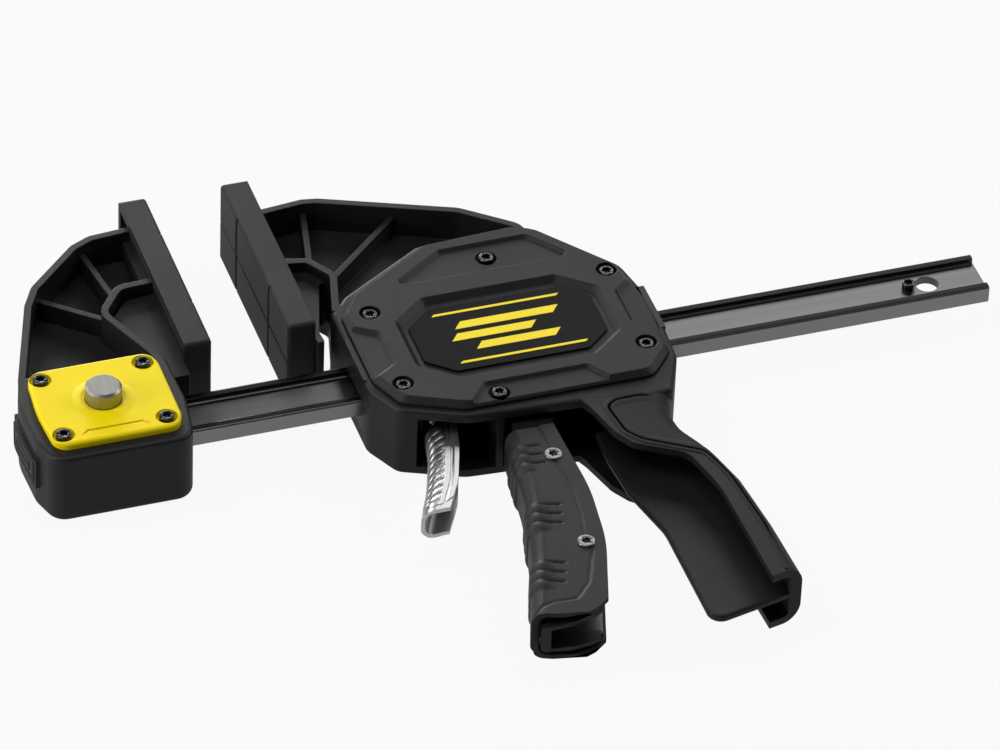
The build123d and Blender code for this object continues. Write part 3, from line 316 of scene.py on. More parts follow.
# ---- Bar guides
# Two plain inserts of self-lubricating plastic, dropped into the end walls round the bar.
# They are left smooth, because the bar slides in them.
GUIDE_ROUGH = 0.36
GUIDE_GRAIN = 1500.0
GUIDE_BUMP = 0.05
GUIDE_EDGE = 0.0003
guide_plastic = moulded_finish("guide_plastic", NYLON, NYLON_RUBBED, GUIDE_ROUGH, GUIDE_GRAIN,
                               GUIDE_BUMP, GUIDE_EDGE)
for node in ("front_guide", "rear_guide"):
    dress(node, guide_plastic)

# ---- Head cover
# A yellow plate of glossy moulded plastic over the end of the bar, held by four screws.
# It keeps the lock button in its bore.
YELLOW = (0.97, 0.77, 0.0, 1.0)
YELLOW_DEEP = (0.95, 0.73, 0.0, 1.0)
YELLOW_ROUGH = 0.38
YELLOW_GRAIN = 1200.0
YELLOW_BUMP = 0.04
YELLOW_EDGE = 0.0005
YELLOW_SPECULAR = 0.2
yellow_plastic = moulded_finish("yellow_plastic", YELLOW_DEEP, YELLOW, YELLOW_ROUGH, YELLOW_GRAIN,
                                YELLOW_BUMP, YELLOW_EDGE, YELLOW_SPECULAR)
dress("head_cover", yellow_plastic)

# ---- Handle skin and pads
# Matt rubber-like plastic, moulded over the handle's frame, and the two soft pads.
# The pads are pushed over plates on the jaws.
RUBBER = (0.01, 0.01, 0.0105, 1.0)
RUBBER_RUBBED = (0.015, 0.015, 0.0155, 1.0)
RUBBER_ROUGH = 0.56
RUBBER_GRAIN = 2600.0
RUBBER_BUMP = 0.2
RUBBER_EDGE = 0.0006
soft_grip = moulded_finish("soft_grip", RUBBER, RUBBER_RUBBED, RUBBER_ROUGH, RUBBER_GRAIN,
                           RUBBER_BUMP, RUBBER_EDGE)
for node in ("handle_grip", "moving_pad", "fixed_pad"):
    dress(node, soft_grip)

# ---- Trigger skin
# A thick rubber-like skin moulded over the trigger's steel channel, open at the back.
# Three groups of raised ribs cross its front; a raised lip runs round its slanted foot.
MM = 0.001
DOUBLES = 1e-6
SKIN_FRONT = [(58.3, -42.4), (54.0, -79.4), (46.6, -109.8), (37.2, -138.0), (34.0, -147.6)]
SKIN_BACK = [(75.2, -48.0), (76.2, -84.0), (72.8, -111.0), (64.2, -138.6), (61.4, -147.6)]
SKIN_EASE = 7.0  # bends of the front and back lines are averaged over this much to each side
EASE_SAMPLES = 15
SKIN_TOP = -46.9
SKIN_FOOT = [(0.0, -139.6), (0.3, -142.4), (0.5, -143.4), (0.74, -144.6), (0.86, -143.2)]
SKIN_FOOT += [(1.0, -139.4)]
SKIN_HALF = 10.0
SKIN_ROUND = 5.2
SKIN_SHELL = (2.9, 1.7)  # thickness at the nose and at the sides
SKIN_INNER_ROUND = 3.4
FLANK_SLACK = 0.01
SLOPE_REACH = 2.0
SKIN_SHARP = 50.0
SKIN_STEPS = 230
SKIN_COUNTS = (40, 12, 14)  # points on a flank, round a corner and over the nose
STEP_LINE = [(69.2, -46.0), (69.5, -72.8), (70.3, -82.4), (68.7, -95.5), (66.9, -104.0)]
STEP_LINE += [(66.6, -114.2), (60.1, -129.8), (53.8, -136.4), (46.4, -135.9), (41.4, -137.0)]
STEP_LINE += [(36.0, -140.4)]
STEP_SOFT = 0.25
STEP_DROP = 0.3  # the side beyond the line lies lower
STEP_END = -138.0
GROOVE_SHIFT = 0.2
GROOVE_HALF = 0.7
GROOVE_DEPTH = 0.55
GROOVE_ROUND = -130.0  # below this the groove also crosses the corner and the nose
RIB_GROUPS = [(-57.0, 11.0), (-87.2, 12.4), (-115.6, 12.4)]  # first rib's y at the front, reach
RIBS = 3
RIB_PITCH = 4.6
RIB_RISE = 0.75
RIB_LEVEL = 3.5  # a rib keeps its full height up to this depth
RIB_RUNOUT = 3.0
RIB_NOTCH = 0.9
NOTCH_AT = 0.75  # in halves of the pitch from the rib's middle
NOTCH_HALF = 0.32
NOTCH_START = (2.6, 5.0)
NOTCH_END = 0.7
TRIGGER_RUBBER = (0.015, 0.015, 0.0155, 1.0)
TRIGGER_RUBBED = (0.023, 0.023, 0.0235, 1.0)
TRIGGER_ROUGH = 0.5
TRIGGER_EDGE = 0.0005


def mesh_piece(name, points, faces, sharp):
    """An object from points in millimetres; edges bent by more than sharp degrees stay sharp."""
    mesh = bpy.data.meshes.new(name)
    mesh.from_pydata((points * MM).tolist(), [], faces)
    work = bmesh.new()
    work.from_mesh(mesh)
    bmesh.ops.remove_doubles(work, verts=work.verts, dist=DOUBLES)
    bmesh.ops.recalc_face_normals(work, faces=work.faces)
    work.to_mesh(mesh)
    work.free()
    mesh.polygons.foreach_set("use_smooth", [True] * len(mesh.polygons))
    mesh.set_sharp_from_angle(angle=radians(sharp))
    piece = bpy.data.objects.new(name, mesh)
    bpy.context.scene.collection.objects.link(piece)
    return piece


def grid_piece(name, grids, capped=True, sharp=40.0):
    """A mesh of quads over one grid of points, or over several of one size.

    Rows run along u, and each row closes on itself. With capped, the first and the last row
    of each grid are filled with one face each.
    """
    rows, across = grids.shape[-3:-1]
    grids = grids.reshape(-1, rows * across, 3)
    index = np.arange(rows * across).reshape(rows, across)
    ends = [index[0, ::-1], index[-1]]
    index = np.hstack([index, index[:, :1]])
    quads = np.stack([index[:-1, :-1], index[:-1, 1:], index[1:, 1:], index[1:, :-1]], axis=-1)
    starts = np.arange(len(grids)) * rows * across
    faces = (quads.reshape(-1, 4) + starts[:, None, None]).reshape(-1, 4).tolist()
    if capped:
        faces += [(end + start).tolist() for start in starts for end in ends]
    return mesh_piece(name, grids.reshape(-1, 3), faces, sharp)


def eased(line, y, window):
    """X on a line of points that runs down in Y, its bends eased by an average over the window."""
    points = np.array(line)[::-1]
    shifts = np.linspace(-window, window, EASE_SAMPLES)
    return np.mean([np.interp(y + shift, points[:, 1], points[:, 0]) for shift in shifts], axis=0)


def beside(line, x, y):
    """Distance of each point from a line of points, with a minus sign on its left side."""
    nearest = np.full(x.shape, np.inf)
    sign = np.ones(x.shape)
    for (x0, y0), (x1, y1) in zip(line, line[1:]):
        dx, dy = x1 - x0, y1 - y0
        along = np.clip(((x - x0) * dx + (y - y0) * dy) / (dx * dx + dy * dy), 0.0, 1.0)
        away = np.hypot(x - x0 - along * dx, y - y0 - along * dy)
        closer = away < nearest
        nearest = np.where(closer, away, nearest)
        sign = np.where(closer, np.sign((x - x0) * dy - (y - y0) * dx), sign)
    return nearest * sign


def smooth_step(value, low, high):
    """0 below low, 1 above high, eased between."""
    share = np.clip((value - low) / (high - low), 0.0, 1.0)
    return share * share * (3 - 2 * share)


def bell(value, half):
    """1 at 0, falling evenly to 0 at half on each side."""
    return np.clip(1 - np.abs(value) / half, 0.0, 1.0)


def channel_section(half, radius, reach, sides, turn, nose):
    """Depth behind the front and height round a C-shaped section, and its outward directions.

    Each flank runs straight from the open back to a corner, a quarter circle of the radius
    leads from there to the nose, and the nose is flat. reach, the section's depth, is a column
    with one value for each row.
    """
    angles = np.linspace(0.0, pi / 2, turn)
    flank = np.linspace(1.0, 0.0, sides, endpoint=False)
    mid = np.linspace(half - radius, radius - half, nose)[1:-1]
    corner = np.broadcast_to(radius - radius * np.sin(angles), (len(reach), turn))
    upper = np.hstack([radius + (reach - radius) * flank, corner])
    depth = np.hstack([upper, np.zeros((len(reach), len(mid))), upper[:, ::-1]])
    upper = np.concatenate([np.full(sides, half), half - radius + radius * np.cos(angles)])
    height = np.concatenate([upper, mid, -upper[::-1]])
    upper = np.concatenate([np.zeros(sides), -np.sin(angles)])
    out_x = np.concatenate([upper, -np.ones(len(mid)), upper[::-1]])
    upper = np.concatenate([np.ones(sides), np.cos(angles)])
    out_z = np.concatenate([upper, np.zeros(len(mid)), -upper[::-1]])
    return depth, height, out_x, out_z


def way_round(depth, height):
    """Length of the way round a section up to each of its points."""
    steps = np.hypot(np.diff(depth, prepend=depth[:, :1]), np.diff(height, prepend=height[:1]))
    return np.cumsum(steps, axis=1)


def channel_grid(lines, ease, top, foot, level, steps, walls, counts, relief=None, short=0.0,
                 pinch=1.0, by_way=False):
    """Points of a bent channel with a thick wall, from its top to its slanted foot.

    A row at a share of the length has y on the straight way from the top to the foot line,
    which gives y for each share of the depth or, with by_way, of the way round the section.
    x lies between the eased front and back lines at that y, by the share of the depth. The
    width of a row is the distance of those lines at its height, taken for the foot's point
    number level. The walls are the outer and the inner face, each with its inset from the
    front, half height and corner radius; relief lifts the outer one outwards. The channel
    ends short of the back line, and pinch narrows its nose.
    """
    front_line, back_line = lines
    foot = np.array(foot)
    share = np.linspace(0.0, 1.0, steps)[:, None]
    middle = top + share * (foot[level, 1] - top)
    width = eased(back_line, middle, ease) - eased(front_line, middle, ease)
    faces = []
    for inset, half, radius in walls:
        depth, height, out_x, out_z = channel_section(half, radius, width - inset - short, *counts)
        way = way_round(depth, height)
        depth = depth + inset
        at = way / way[:, -1:] if by_way else depth / width
        y = top + share * (np.interp(at, foot[:, 0], foot[:, 1]) - top)
        front, back = eased(front_line, y, ease), eased(back_line, y, ease)
        x = front + depth / width * (back - front)
        rise = relief((x, y), depth, height) if relief and not faces else np.zeros(x.shape)
        height = height * (pinch + (1 - pinch) * smooth_step(depth, walls[0][0], width))
        faces.append(np.stack([x + rise * out_x, y, height + rise * out_z], axis=-1))
    return np.hstack([faces[0], faces[1][:, ::-1]])


def skin_relief(place, depth, height):
    """Rise of the ribs, less their notches, the groove along the step line and the step.

    A rib is an arch, the root of 1 - off squared, where off counts halves of the pitch from
    its middle; it runs out towards the back, and a notch follows it on the side face.
    """
    x, y = place
    run = eased(SKIN_FRONT, y + SLOPE_REACH, SKIN_EASE)
    run = run - eased(SKIN_FRONT, y - SLOPE_REACH, SKIN_EASE)
    axial = y + run / (2 * SLOPE_REACH) * depth
    rise = np.zeros(x.shape)
    for first, reach in RIB_GROUPS:
        for number in range(RIBS):
            off = (axial - first + number * RIB_PITCH) / (RIB_PITCH / 2)
            arch = np.sqrt(np.clip(1 - off * off, 0.0, 1.0))
            rise += RIB_RISE * arch * (1 - smooth_step(depth, RIB_LEVEL, reach - RIB_RUNOUT))
            ends = 1 - smooth_step(depth, reach - NOTCH_END, reach)
            ends = ends * smooth_step(depth, *NOTCH_START)
            rise -= RIB_NOTCH * bell(off - NOTCH_AT, NOTCH_HALF) * ends
    side = np.abs(height) > SKIN_HALF - FLANK_SLACK
    from_line = beside(STEP_LINE, x, y)
    lowered = STEP_DROP * smooth_step(from_line, -STEP_SOFT, STEP_SOFT) * (y > STEP_END)
    groove = GROOVE_DEPTH * bell(from_line + GROOVE_SHIFT, GROOVE_HALF)
    return rise - groove * (side | (y < GROOVE_ROUND)) - lowered * side


skin_walls = [(0.0, SKIN_HALF, SKIN_ROUND),
              (SKIN_SHELL[0], SKIN_HALF - SKIN_SHELL[1], SKIN_INNER_ROUND)]
grid = channel_grid((SKIN_FRONT, SKIN_BACK), SKIN_EASE, SKIN_TOP, SKIN_FOOT, 0, SKIN_STEPS,
                    skin_walls, SKIN_COUNTS, skin_relief)
trigger_skin = grid_piece("trigger_skin", grid, sharp=SKIN_SHARP)
trigger_skin.data.materials.append(moulded_finish(
    "trigger_rubber", TRIGGER_RUBBER, TRIGGER_RUBBED, TRIGGER_ROUGH, RUBBER_GRAIN, RUBBER_BUMP,
    TRIGGER_EDGE))
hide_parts("trigger_grip")
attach(trigger_skin, "trigger")

# ---- Trigger foot
# The end of the trigger's frame, seen inside the skin's foot with a gap all round.
# It is a channel with a thick nose, cut square to the trigger.
FRAME_START = -137.8
FRAME_FOOT = [(0.0, -142.8), (0.3, -143.9), (0.6, -144.0), (0.86, -142.2), (1.0, -139.6)]
FRAME_HALF = 7.3
FRAME_ROUNDS = (2.6, 0.6)
FRAME_FRONT = 3.6  # behind the skin's front
FRAME_NOSE = 3.6
FRAME_SIDE = 2.0
FRAME_BACK = 2.0  # short of the skin's back
FRAME_PINCH = 0.74  # height at the nose over height at the back
FRAME_STEPS = 24
FRAME_SHARP = 35.0
FRAME_COUNTS = (24, 8, 6)
frame_walls = [(FRAME_FRONT, FRAME_HALF, FRAME_ROUNDS[0]),
               (FRAME_FRONT + FRAME_NOSE, FRAME_HALF - FRAME_SIDE, FRAME_ROUNDS[1])]
grid = channel_grid((SKIN_FRONT, SKIN_BACK), SKIN_EASE, FRAME_START, FRAME_FOOT, 2, FRAME_STEPS,
                    frame_walls, FRAME_COUNTS, short=FRAME_BACK, pinch=FRAME_PINCH)
trigger_foot = grid_piece("trigger_foot", grid, sharp=FRAME_SHARP)
trigger_foot.data.materials.append(guide_plastic)
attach(trigger_foot, "trigger")

# ---- Handle seam
# Where the soft skin meets the handle's frame there is a narrow groove between two raised lips, and
# a matt near-black strip in it is painted shade.
# It follows the root's patch and the outside of the grip, on both faces.
SEAM = [(127.0, -144.2), (126.6, -118.0), (123.8, -92.0), (119.8, -79.3), (100.8, -67.6)]
SEAM += [(96.4, -62.0), (94.4, -48.0), (98.0, -45.4), (108.2, -45.4), (113.4, -49.0)]
SEAM += [(114.6, -54.0)]
SEAM_STEP = 0.4
SEAM_EASE = 5  # steps averaged on each side
SEAM_LIPS = [(1.9, -0.5), (1.9, 0.06), (1.75, 0.24), (1.35, 0.36), (0.85, 0.36), (0.55, 0.26)]
SEAM_LIPS += [(0.42, 0.0), (0.38, -0.2), (-0.38, -0.2), (-0.42, 0.0), (-0.55, 0.26)]
SEAM_LIPS += [(-0.85, 0.33), (-1.6, 0.24), (-2.6, 0.08), (-3.3, -0.06), (-3.4, -0.5)]
# painted shade: a matt near-black strip that fills the groove nearly to its rim
SEAM_SHADE_STRIP = [(0.45, -0.3), (0.45, 0.03), (-0.45, 0.03), (-0.45, -0.3)]
# painted shade: the strip's near-black colour
SHADE_STRIP_BLACK = (0.0006, 0.001)
GAP_ROUGH = 0.8
GAP_EDGE = 0.0001
GAP_SPECULAR = 0.02
SMOOTH_GRAIN = 900.0
SMOOTH_BUMP = 0.02
GRIP_BACK = [(116.0, -54.5), (116.9, -62.5), (123.2, -75.0), (128.2, -94.0), (130.6, -118.0)]
GRIP_BACK += [(131.8, -151.2)]
GRIP_ROUND = 7.0
GRIP_TOP_Y = -44.6  # upper end of the skin, where it is highest
GRIP_TAPER = 0.0218  # half thickness lost per millimetre of length
GRIP_TOP_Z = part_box("handle_grip")[1].z / MM


def walked(line, step, ease, closed=False):
    """Points every step along a line of points, each moved to the mean of its neighbours."""
    points = np.array(line + line[:1] if closed else line, dtype=float)
    run = np.linalg.norm(np.diff(points, axis=0), axis=1)
    run = np.concatenate([[0.0], np.cumsum(run)])
    at = np.linspace(0.0, run[-1], int(run[-1] / step) + 1)[:-1 if closed else None]
    found = np.stack([np.interp(at, run, column) for column in points.T], axis=-1)
    if closed:
        return np.mean([np.roll(found, k, axis=0) for k in range(-ease, ease + 1)], axis=0)
    padded = np.pad(found, ((ease, ease), (0, 0)), mode="edge")
    return np.mean([padded[k:k + len(found)] for k in range(2 * ease + 1)], axis=0)


def grip_height(x, y):
    """Height of the handle's face: a flat taper, then a quarter round of GRIP_ROUND at the back."""
    points = np.array(GRIP_BACK)[::-1]
    from_back = x - np.interp(y, points[:, 1], points[:, 0])
    over = np.clip(from_back + GRIP_ROUND, 0.0, GRIP_ROUND)
    flat_top = GRIP_TOP_Z - (GRIP_TOP_Y - y) * GRIP_TAPER
    return flat_top - GRIP_ROUND + np.sqrt(GRIP_ROUND ** 2 - over ** 2)


def beside_path(path, heading, across):
    """Both coordinates of a profile's points, set out to the left of a flat path at each step."""
    first = path[:, :1] - heading[:, 1:] * across
    second = path[:, 1:] + heading[:, :1] * across
    return first, second


path = walked(SEAM, SEAM_STEP, SEAM_EASE)
heading = np.gradient(path, axis=0)
heading /= np.linalg.norm(heading, axis=1)[:, None]
seam_painted_shade = moulded_finish("seam_painted_shade", *map(grey, SHADE_STRIP_BLACK), GAP_ROUGH, SMOOTH_GRAIN,
                          SMOOTH_BUMP, GAP_EDGE, GAP_SPECULAR)
for kind, profile, finish in (("seam", SEAM_LIPS, soft_grip), ("painted_shade", SEAM_SHADE_STRIP, seam_painted_shade)):
    across, lift = np.array(profile).T
    x, y = beside_path(path, heading, across)
    for face, side in ((1.0, "top"), (-1.0, "low")):
        grid = np.stack([x, y, face * (grip_height(x, y) + lift)], axis=-1)
        seam = grid_piece("handle_" + kind + "_" + side, grid)
        seam.data.materials.append(finish)
        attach(seam, "root")

# ---- Head details
# The yellow plate has a low round lip about the button; the end wall's panel carries a raised
# frame with a bar in it. All are part of the mouldings.
BUTTON_AT = (-72.5, 0.0)
PLATE_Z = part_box("head_cover")[1].z / MM
LIP = [(7.4, -0.3), (7.4, 0.1), (7.8, 0.28), (8.4, 0.34), (9.2, 0.26), (10.4, 0.08)]
LIP += [(11.2, -0.05), (11.2, -0.3)]
LIP_SIDES = 96
LIP_SHARP = 50.0
PANEL_FACE = [(-97.6, -25.0), (-101.45, -13.0), (-102.2, 7.0), (-98.1, 22.0)]
PANEL_FACE_STEP = 0.5
PANEL_FACE_EASE = 6
PANEL_RING = [(-13.6, -2.9), (9.6, -2.9), (9.6, 5.5), (-13.6, 5.5)]
PANEL_BAR = [(-9.6, -0.2), (4.6, -0.2), (4.6, 2.8), (-9.6, 2.8)]
PANEL_RIB = [(0.7, -0.3), (0.7, 0.3), (0.45, 0.55), (-0.45, 0.55), (-0.7, 0.3), (-0.7, -0.3)]
PANEL_STEP = 0.4
PANEL_EASE = 2
turn = np.linspace(0.0, 2 * pi, LIP_SIDES, endpoint=False)
lip_out, lip_up = np.array(LIP).T[..., None]
grid = np.stack([BUTTON_AT[0] + lip_out * np.cos(turn), BUTTON_AT[1] + lip_out * np.sin(turn),
                 PLATE_Z + lip_up + 0.0 * turn], axis=-1)
grid = np.concatenate([grid, grid[:1]])
button_lip = grid_piece("button_lip", grid, capped=False, sharp=LIP_SHARP)
button_lip.data.materials.append(yellow_plastic)
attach(button_lip, "bar")
rib_out, rib_up = np.array(PANEL_RIB).T
wall = walked(PANEL_FACE, PANEL_FACE_STEP, PANEL_FACE_EASE)
for name, ring in (("end_panel_frame", PANEL_RING), ("end_panel_bar", PANEL_BAR)):
    path = walked(ring, PANEL_STEP, PANEL_EASE, closed=True)
    heading = np.roll(path, -1, axis=0) - np.roll(path, 1, axis=0)
    heading /= np.linalg.norm(heading, axis=1)[:, None]
    y, z = beside_path(path, heading, rib_out)
    grid = np.stack([np.interp(y, wall[:, 1], wall[:, 0]) - rib_up, y, z], axis=-1)
    frame_rib = grid_piece(name, np.concatenate([grid, grid[:1]]), capped=False)
    frame_rib.data.materials.append(nylon)
    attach(frame_rib, "bar")

# ---- Label
# A thin printed film of black plastic, stuck down in the cover's recess.
# Its stripes are a layer of yellow ink.
FILM = (0.005, 0.005, 0.0055, 1.0)
FILM_WORN = (0.007, 0.007, 0.0075, 1.0)
FILM_ROUGH = 0.38
FILM_EDGE = 0.0002
FILM_SPECULAR = 0.06
INK_ROUGH = 0.36
INK_EDGE = 0.0001
INK_Z = (15.6, 15.66)
STRIPES = [  # left end, right end, low edge, high edge, slant of both ends
    (50.0, 96.0, 13.2, 14.4, 1.2), (52.0, 98.0, -14.0, -12.8, 1.2),
    (56.0, 92.0, 4.6, 8.4, 3.0), (53.0, 82.0, -1.6, 2.2, 3.0), (60.0, 89.0, -7.8, -4.0, 3.0),
]
film = moulded_finish("label_film", FILM, FILM_WORN, FILM_ROUGH, SMOOTH_GRAIN, SMOOTH_BUMP,
                      FILM_EDGE, FILM_SPECULAR)
dress("label_panel", film)
left, right_end, low, high, slant = np.array(STRIPES).T
ring_x = np.stack([left, right_end, right_end + slant, left + slant], axis=-1)
ring_y = np.stack([low, low, high, high], axis=-1)
stripes = [np.stack([ring_x, ring_y, np.full(ring_x.shape, z)], axis=-1) for z in INK_Z]
label_stripes = grid_piece("label_stripes", np.stack(stripes, axis=1))
label_stripes.data.materials.append(moulded_finish(
    "yellow_ink", YELLOW_DEEP, YELLOW, INK_ROUGH, SMOOTH_GRAIN, SMOOTH_BUMP, INK_EDGE))
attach(label_stripes, "root")

# ---- Steel pieces
# The lock button is turned from bar, and the lever is pressed from sheet and zinc plated.
# Pins and plates are ground, the bushes are brass, and the trigger's channel is blackened.
TURNED_DARK = (0.3, 0.29, 0.265, 1.0)
TURNED_BRIGHT = (0.36, 0.35, 0.32, 1.0)
TURNED_ROUGH = 0.42
TURNED_LINES = (1.0, 0.05, 1.0)
ZINC_GREYS = (0.56, 0.62)
ZINC_LINES = (0.2, 0.05, 0.2)
GROUND_GREYS = (0.24, 0.3)
GROUND_LINES = (1.0, 0.1, 1.0)
BRASS = (0.5, 0.33, 0.1, 1.0)
BRASS_BRIGHT = (0.6, 0.42, 0.16, 1.0)
BRASS_LINES = (1.0, 1.0, 0.2)
PRESSED_LINES = (1.0, 0.3, 1.0)
STEEL_ROUGH = 0.3
STEEL_LINES = 1400.0  # to the metre
STEEL_DETAIL = 2.0
STEEL_SPAN = (0.3, 0.7)  # of the noise, from dark to bright
STEEL_GLOSS = (-0.06, 0.08)  # spread of the roughness about its middle
STEEL_BUMP = 0.05
STEEL_EDGE = 0.0003
SMALL_EDGE = 0.0002
OXIDE_EDGE = 0.0005


def steel_finish(name, dark, bright, rough, stretch, edge):
    """Bare or plated steel with fine lines along one direction."""
    material, shader, add, links = new_material(name)
    lines = stretched_noise(add, stretch, STEEL_LINES, STEEL_DETAIL)
    tint = ramp(add, lines, zip(STEEL_SPAN, (dark, bright)))
    links.new(tint, shader.inputs["Base Color"])
    gloss = (rough + STEEL_GLOSS[0], rough + STEEL_GLOSS[1])
    broken_gloss(add, links, shader, lines, gloss, STEEL_BUMP, STEEL_BUMP_DEPTH, edge)
    shader.inputs["Metallic"].default_value = 1.0
    return material


turned_steel = steel_finish("turned_steel", TURNED_DARK, TURNED_BRIGHT, TURNED_ROUGH,
                            TURNED_LINES, STEEL_EDGE)
dress("lock_button", turned_steel)
zinc = steel_finish("zinc_plate", *map(grey, ZINC_GREYS), STEEL_ROUGH, ZINC_LINES, STEEL_EDGE)
dress("release_lever", zinc)
ground_steel = steel_finish("ground_steel", *map(grey, GROUND_GREYS), STEEL_ROUGH,
                            GROUND_LINES, SMALL_EDGE)
for node in ("trigger_pin", "release_pin", "drive_plate_front", "drive_plate_rear",
             "brake_plate_front", "brake_plate_rear", "brake_spring"):
    dress(node, ground_steel)
brass = steel_finish("bush_brass", BRASS, BRASS_BRIGHT, STEEL_ROUGH, BRASS_LINES, SMALL_EDGE)
dress("trigger_bushes", brass)
pressed_oxide = oxide_finish("pressed_oxide", PRESSED_LINES, OXIDE_EDGE)
for node in ("trigger_channel", "stop_nut"):
    dress(node, pressed_oxide)

# ---- Springs
# Round spring wire wound cold: one spring stands round the bar behind the drive plates,
# one under the lock button.
DRIVE_WIRE = 1.5
DRIVE_TURNS = 6
LOCK_WIRE = 0.7
LOCK_TURNS = 5
COIL_STEPS = 30  # along one turn
COIL_SIDES = 10
COIL_SHARP = 50.0


def coil(name, node, axis, wire, turns):
    """A wire on a helix that fills a node's box.

    The wire's centre goes round the axis at half the box's width less half the wire, and
    climbs evenly; the wire's circle stands square to that path.
    """
    low, high = [np.array(corner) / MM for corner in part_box(node)]
    one, two = [k for k in range(3) if k != axis]
    middle = (low + high) / 2
    radius = (high[one] - low[one] - wire) / 2
    share = np.linspace(0.0, 1.0, int(turns * COIL_STEPS) + 1)[:, None]
    angle = 2 * pi * turns * share
    round_wire = np.linspace(0.0, 2 * pi, COIL_SIDES, endpoint=False)
    length = high[axis] - low[axis] - wire
    climb = length / (2 * pi * turns * radius)
    out = radius + wire / 2 * np.cos(round_wire)
    back = wire / 2 * np.sin(round_wire) / np.hypot(1.0, climb)
    grid = np.zeros((len(share), COIL_SIDES, 3))
    grid[..., axis] = low[axis] + wire / 2 + share * length + back
    grid[..., one] = middle[one] + out * np.cos(angle) + back * climb * np.sin(angle)
    grid[..., two] = middle[two] + out * np.sin(angle) - back * climb * np.cos(angle)
    piece = grid_piece(name, grid, sharp=COIL_SHARP)
    piece.data.materials.append(ground_steel)
    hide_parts(node)
    first, last = middle.copy(), middle.copy()
    first[axis], last[axis] = low[axis] + wire, high[axis] - wire
    return piece, tuple(first * MM), tuple(last * MM)


drive_coil, first, last = coil("drive_coil", "drive_spring", 0, DRIVE_WIRE, DRIVE_TURNS)
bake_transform(drive_coil)
lock_coil, first, last = coil("lock_coil", "lock_spring", 2, LOCK_WIRE, LOCK_TURNS)
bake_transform(lock_coil)

# ---- Lever skin
# The lever's pressed sheet: a round front with slanted grip ribs and a rolled edge at the back.
# Its foot is cut at a slant, so the hollow shows.
LEVER_FRONT = [(36.0, -23.0), (35.2, -26.0), (31.4, -44.0), (25.4, -61.0), (18.8, -75.0)]
LEVER_FRONT += [(17.2, -78.6)]
LEVER_BACK = [(47.2, -23.0), (46.0, -28.0), (41.6, -46.0), (36.2, -62.0), (29.8, -74.0)]
LEVER_BACK += [(27.6, -78.6)]
LEVER_EASE = 4.0
LEVER_TOP = -26.4
LEVER_FOOT = [(0.0, -70.6), (0.1, -73.2), (0.3, -73.8), (0.5, -74.2), (0.72, -76.0)]
LEVER_FOOT += [(0.9, -75.8), (1.0, -70.9)]
LEVER_HALF = 6.15
LEVER_ROUND = 5.4
LEVER_PROUD = 0.2
LEVER_SHEET = 1.5
LEVER_STEPS = 190
LEVER_COUNTS = (24, 16, 5)
LEVER_SHARP = 60.0
LEVER_RIB_PITCH = 3.55
LEVER_RIB_RISE = 0.42
LEVER_RIB_SINK = 0.45
LEVER_RIB_SPAN = (-71.5, -31.0)
LEVER_RIB_FADE = 0.8
LEVER_RIB_ENDS = (9.4, 10.2)  # on the way round from the middle of the nose
LEVER_SLANT = 0.31
HEM_LINE = 2.7  # groove in front of the rolled edge, from the back
HEM_LINE_HALF = 0.5
HEM_LINE_DEPTH = 0.3
HEM_RISE = 0.12
HEM_EDGE = (2.2, 1.8)


def lever_relief(place, depth, height):
    """Rise of the slanted ribs, less the groove in front of the rolled edge, and of that edge.

    Each rib is the upper part of a half circle over one pitch of y plus a slant times the
    way round from the middle of the nose.
    """
    y = place[1]
    width = depth[:, :1]
    way = way_round(depth, height)
    side = way[:, -1:] / 2 - way
    phase = (y - LEVER_SLANT * side) / LEVER_RIB_PITCH
    phase = phase - np.floor(phase)
    arch = np.sqrt(1 - (2 * phase - 1) ** 2) - LEVER_RIB_SINK
    low, high = LEVER_RIB_SPAN
    inside = smooth_step(y, low, low + LEVER_RIB_FADE)
    inside = inside * (1 - smooth_step(y, high - LEVER_RIB_FADE, high))
    ends = 1 - smooth_step(np.abs(side), *LEVER_RIB_ENDS)
    groove = HEM_LINE_DEPTH * bell(depth - width + HEM_LINE, HEM_LINE_HALF)
    hem = HEM_RISE * smooth_step(depth, width - HEM_EDGE[0], width - HEM_EDGE[1])
    return LEVER_RIB_RISE * arch * inside * ends - groove + hem


lever_walls = [(-LEVER_PROUD, LEVER_HALF, LEVER_ROUND),
               (LEVER_SHEET - LEVER_PROUD, LEVER_HALF - LEVER_SHEET, LEVER_ROUND - LEVER_SHEET)]
grid = channel_grid((LEVER_FRONT, LEVER_BACK), LEVER_EASE, LEVER_TOP, LEVER_FOOT, 3, LEVER_STEPS,
                    lever_walls, LEVER_COUNTS, lever_relief, by_way=True)
lever_skin = grid_piece("lever_skin", grid, sharp=LEVER_SHARP)
lever_skin.data.materials.append(zinc)
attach(lever_skin, "release")

# ---- Screws
# Machine screws with rounded heads and six-lobed sockets, turned and rolled from steel wire.
# The cover, head and stop screws are blackened; the trigger's are plated.
HEAD_SIZE = (2.7, 2.4, 0.45)  # radius, height below the top, rounding of the rim
TRIGGER_SCREW_SIZE = (3.1, 1.8, 0.4)
STOP_SCREW_SIZE = (2.3, 2.6, 0.4)
HEAD_SIDES = 72
RIM_STEPS = 6
HEAD_CORE = 0.4
HEAD_SHARP = 35.0
SOCKET_R = 1.45
SOCKET_WAVE = 0.22
SOCKET_DEEP = 1.5
SOCKET_LIP = [(0.18, 0.0), (0.05, -0.06), (0.0, -0.2)]
SOCKET_TAPER = 0.96
SOCKET_POINT = (0.2, 0.3)
SCREW_EDGE = 0.0001
SCREW_BLACK = (0.06, 0.1)
SCREW_BLACK_ROUGH = 0.22
SCREW_PLATED = (0.2, 0.32)
COVER_SCREWS_TOP = 16.6
COVER_PLACES = [(78.7, 39.7), (117.3, 20.9), (29.6, 20.0), (29.2, -20.2), (60.0, -33.0)]
COVER_PLACES += [(117.6, -21.5)]
HEAD_PITCH = (36.6, 30.5)
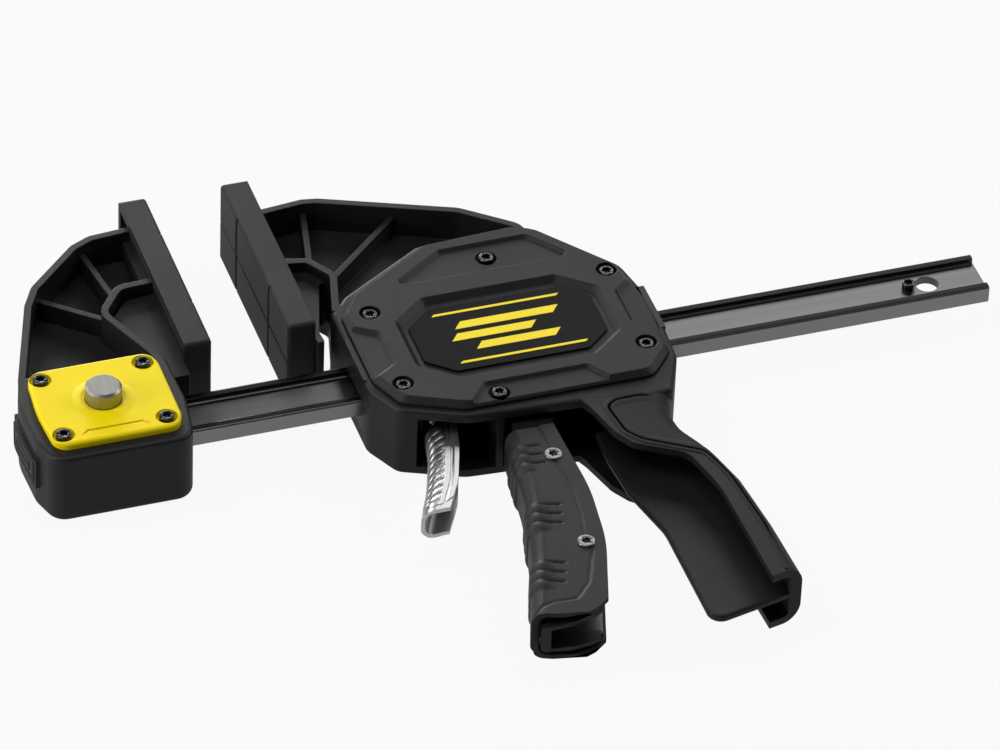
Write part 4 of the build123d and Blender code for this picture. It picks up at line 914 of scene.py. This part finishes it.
HEAD_SCREWS_TOP = 17.6
TRIGGER_PLACES = [(69.9, -62.9), (66.1, -109.7)]
TRIGGER_SCREWS_TOP = 10.45
STOP_X = 224.4
STOP_TOP = 4.0


def screw_heads(name, places, size, material):
    """Turned heads with six-lobed sockets; places are (x, y, top, 1 for up or -1 for down).

    Each head is a stack of rings from its underside over its rounded rim into the socket,
    whose rings have the radius SOCKET_R plus SOCKET_WAVE times the cosine of six turns.
    """
    radius, low, rim = size
    angles = np.linspace(0.0, 2 * pi, HEAD_SIDES, endpoint=False)
    lobes = SOCKET_R + SOCKET_WAVE * np.cos(6 * angles)
    circle = np.ones(HEAD_SIDES)
    bend = np.linspace(0.0, pi / 2, RIM_STEPS)
    core, point = SOCKET_POINT
    rings = [(circle * HEAD_CORE, -low), (circle * radius, -low)]
    rings += [(circle * (radius - rim + rim * cos(a)), -rim + rim * sin(a)) for a in bend]
    rings += [(lobes + out, up) for out, up in SOCKET_LIP]
    rings += [(lobes * SOCKET_TAPER, -SOCKET_DEEP)]
    rings += [(circle * core, -SOCKET_DEEP - point)]
    around = np.array([ring for ring, up in rings])
    rise = np.array([up for ring, up in rings])[:, None] * circle
    x, y, top, way = np.array(places, dtype=float).T[..., None, None]
    grids = np.stack([x + around * np.cos(angles), y + around * np.sin(angles), top + way * rise],
                     axis=-1)
    piece = grid_piece(name, grids, sharp=HEAD_SHARP)
    piece.data.materials.append(material)
    return piece


screw_black = steel_finish("screw_black", *map(grey, SCREW_BLACK), SCREW_BLACK_ROUGH, EVENLY,
                           SCREW_EDGE)
plated_screw = steel_finish("plated_screw", *map(grey, SCREW_PLATED), STEEL_ROUGH, EVENLY,
                            SCREW_EDGE)

places = [(x, y, COVER_SCREWS_TOP, 1) for x, y in COVER_PLACES]
cover_heads = screw_heads("cover_screw_heads", places, HEAD_SIZE, screw_black)
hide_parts("cover_screws")
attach(cover_heads, "root")

places = [(BUTTON_AT[0] + a * HEAD_PITCH[0] / 2, b * HEAD_PITCH[1] / 2, HEAD_SCREWS_TOP, 1)
          for a in (-1, 1) for b in (-1, 1)]
head_heads = screw_heads("head_screw_heads", places, HEAD_SIZE, screw_black)
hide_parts("head_screws")
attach(head_heads, "bar")

places = [(x, y, side * TRIGGER_SCREWS_TOP, side) for x, y in TRIGGER_PLACES for side in (-1, 1)]
skin_screws = screw_heads("trigger_screw_heads", places, TRIGGER_SCREW_SIZE, plated_screw)
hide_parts("trigger_screws")
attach(skin_screws, "trigger")

stop_head = screw_heads("stop_screw_head", [(STOP_X, 0.0, STOP_TOP, 1)], STOP_SCREW_SIZE,
                        screw_black)
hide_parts("stop_screw")
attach(stop_head, "bar")
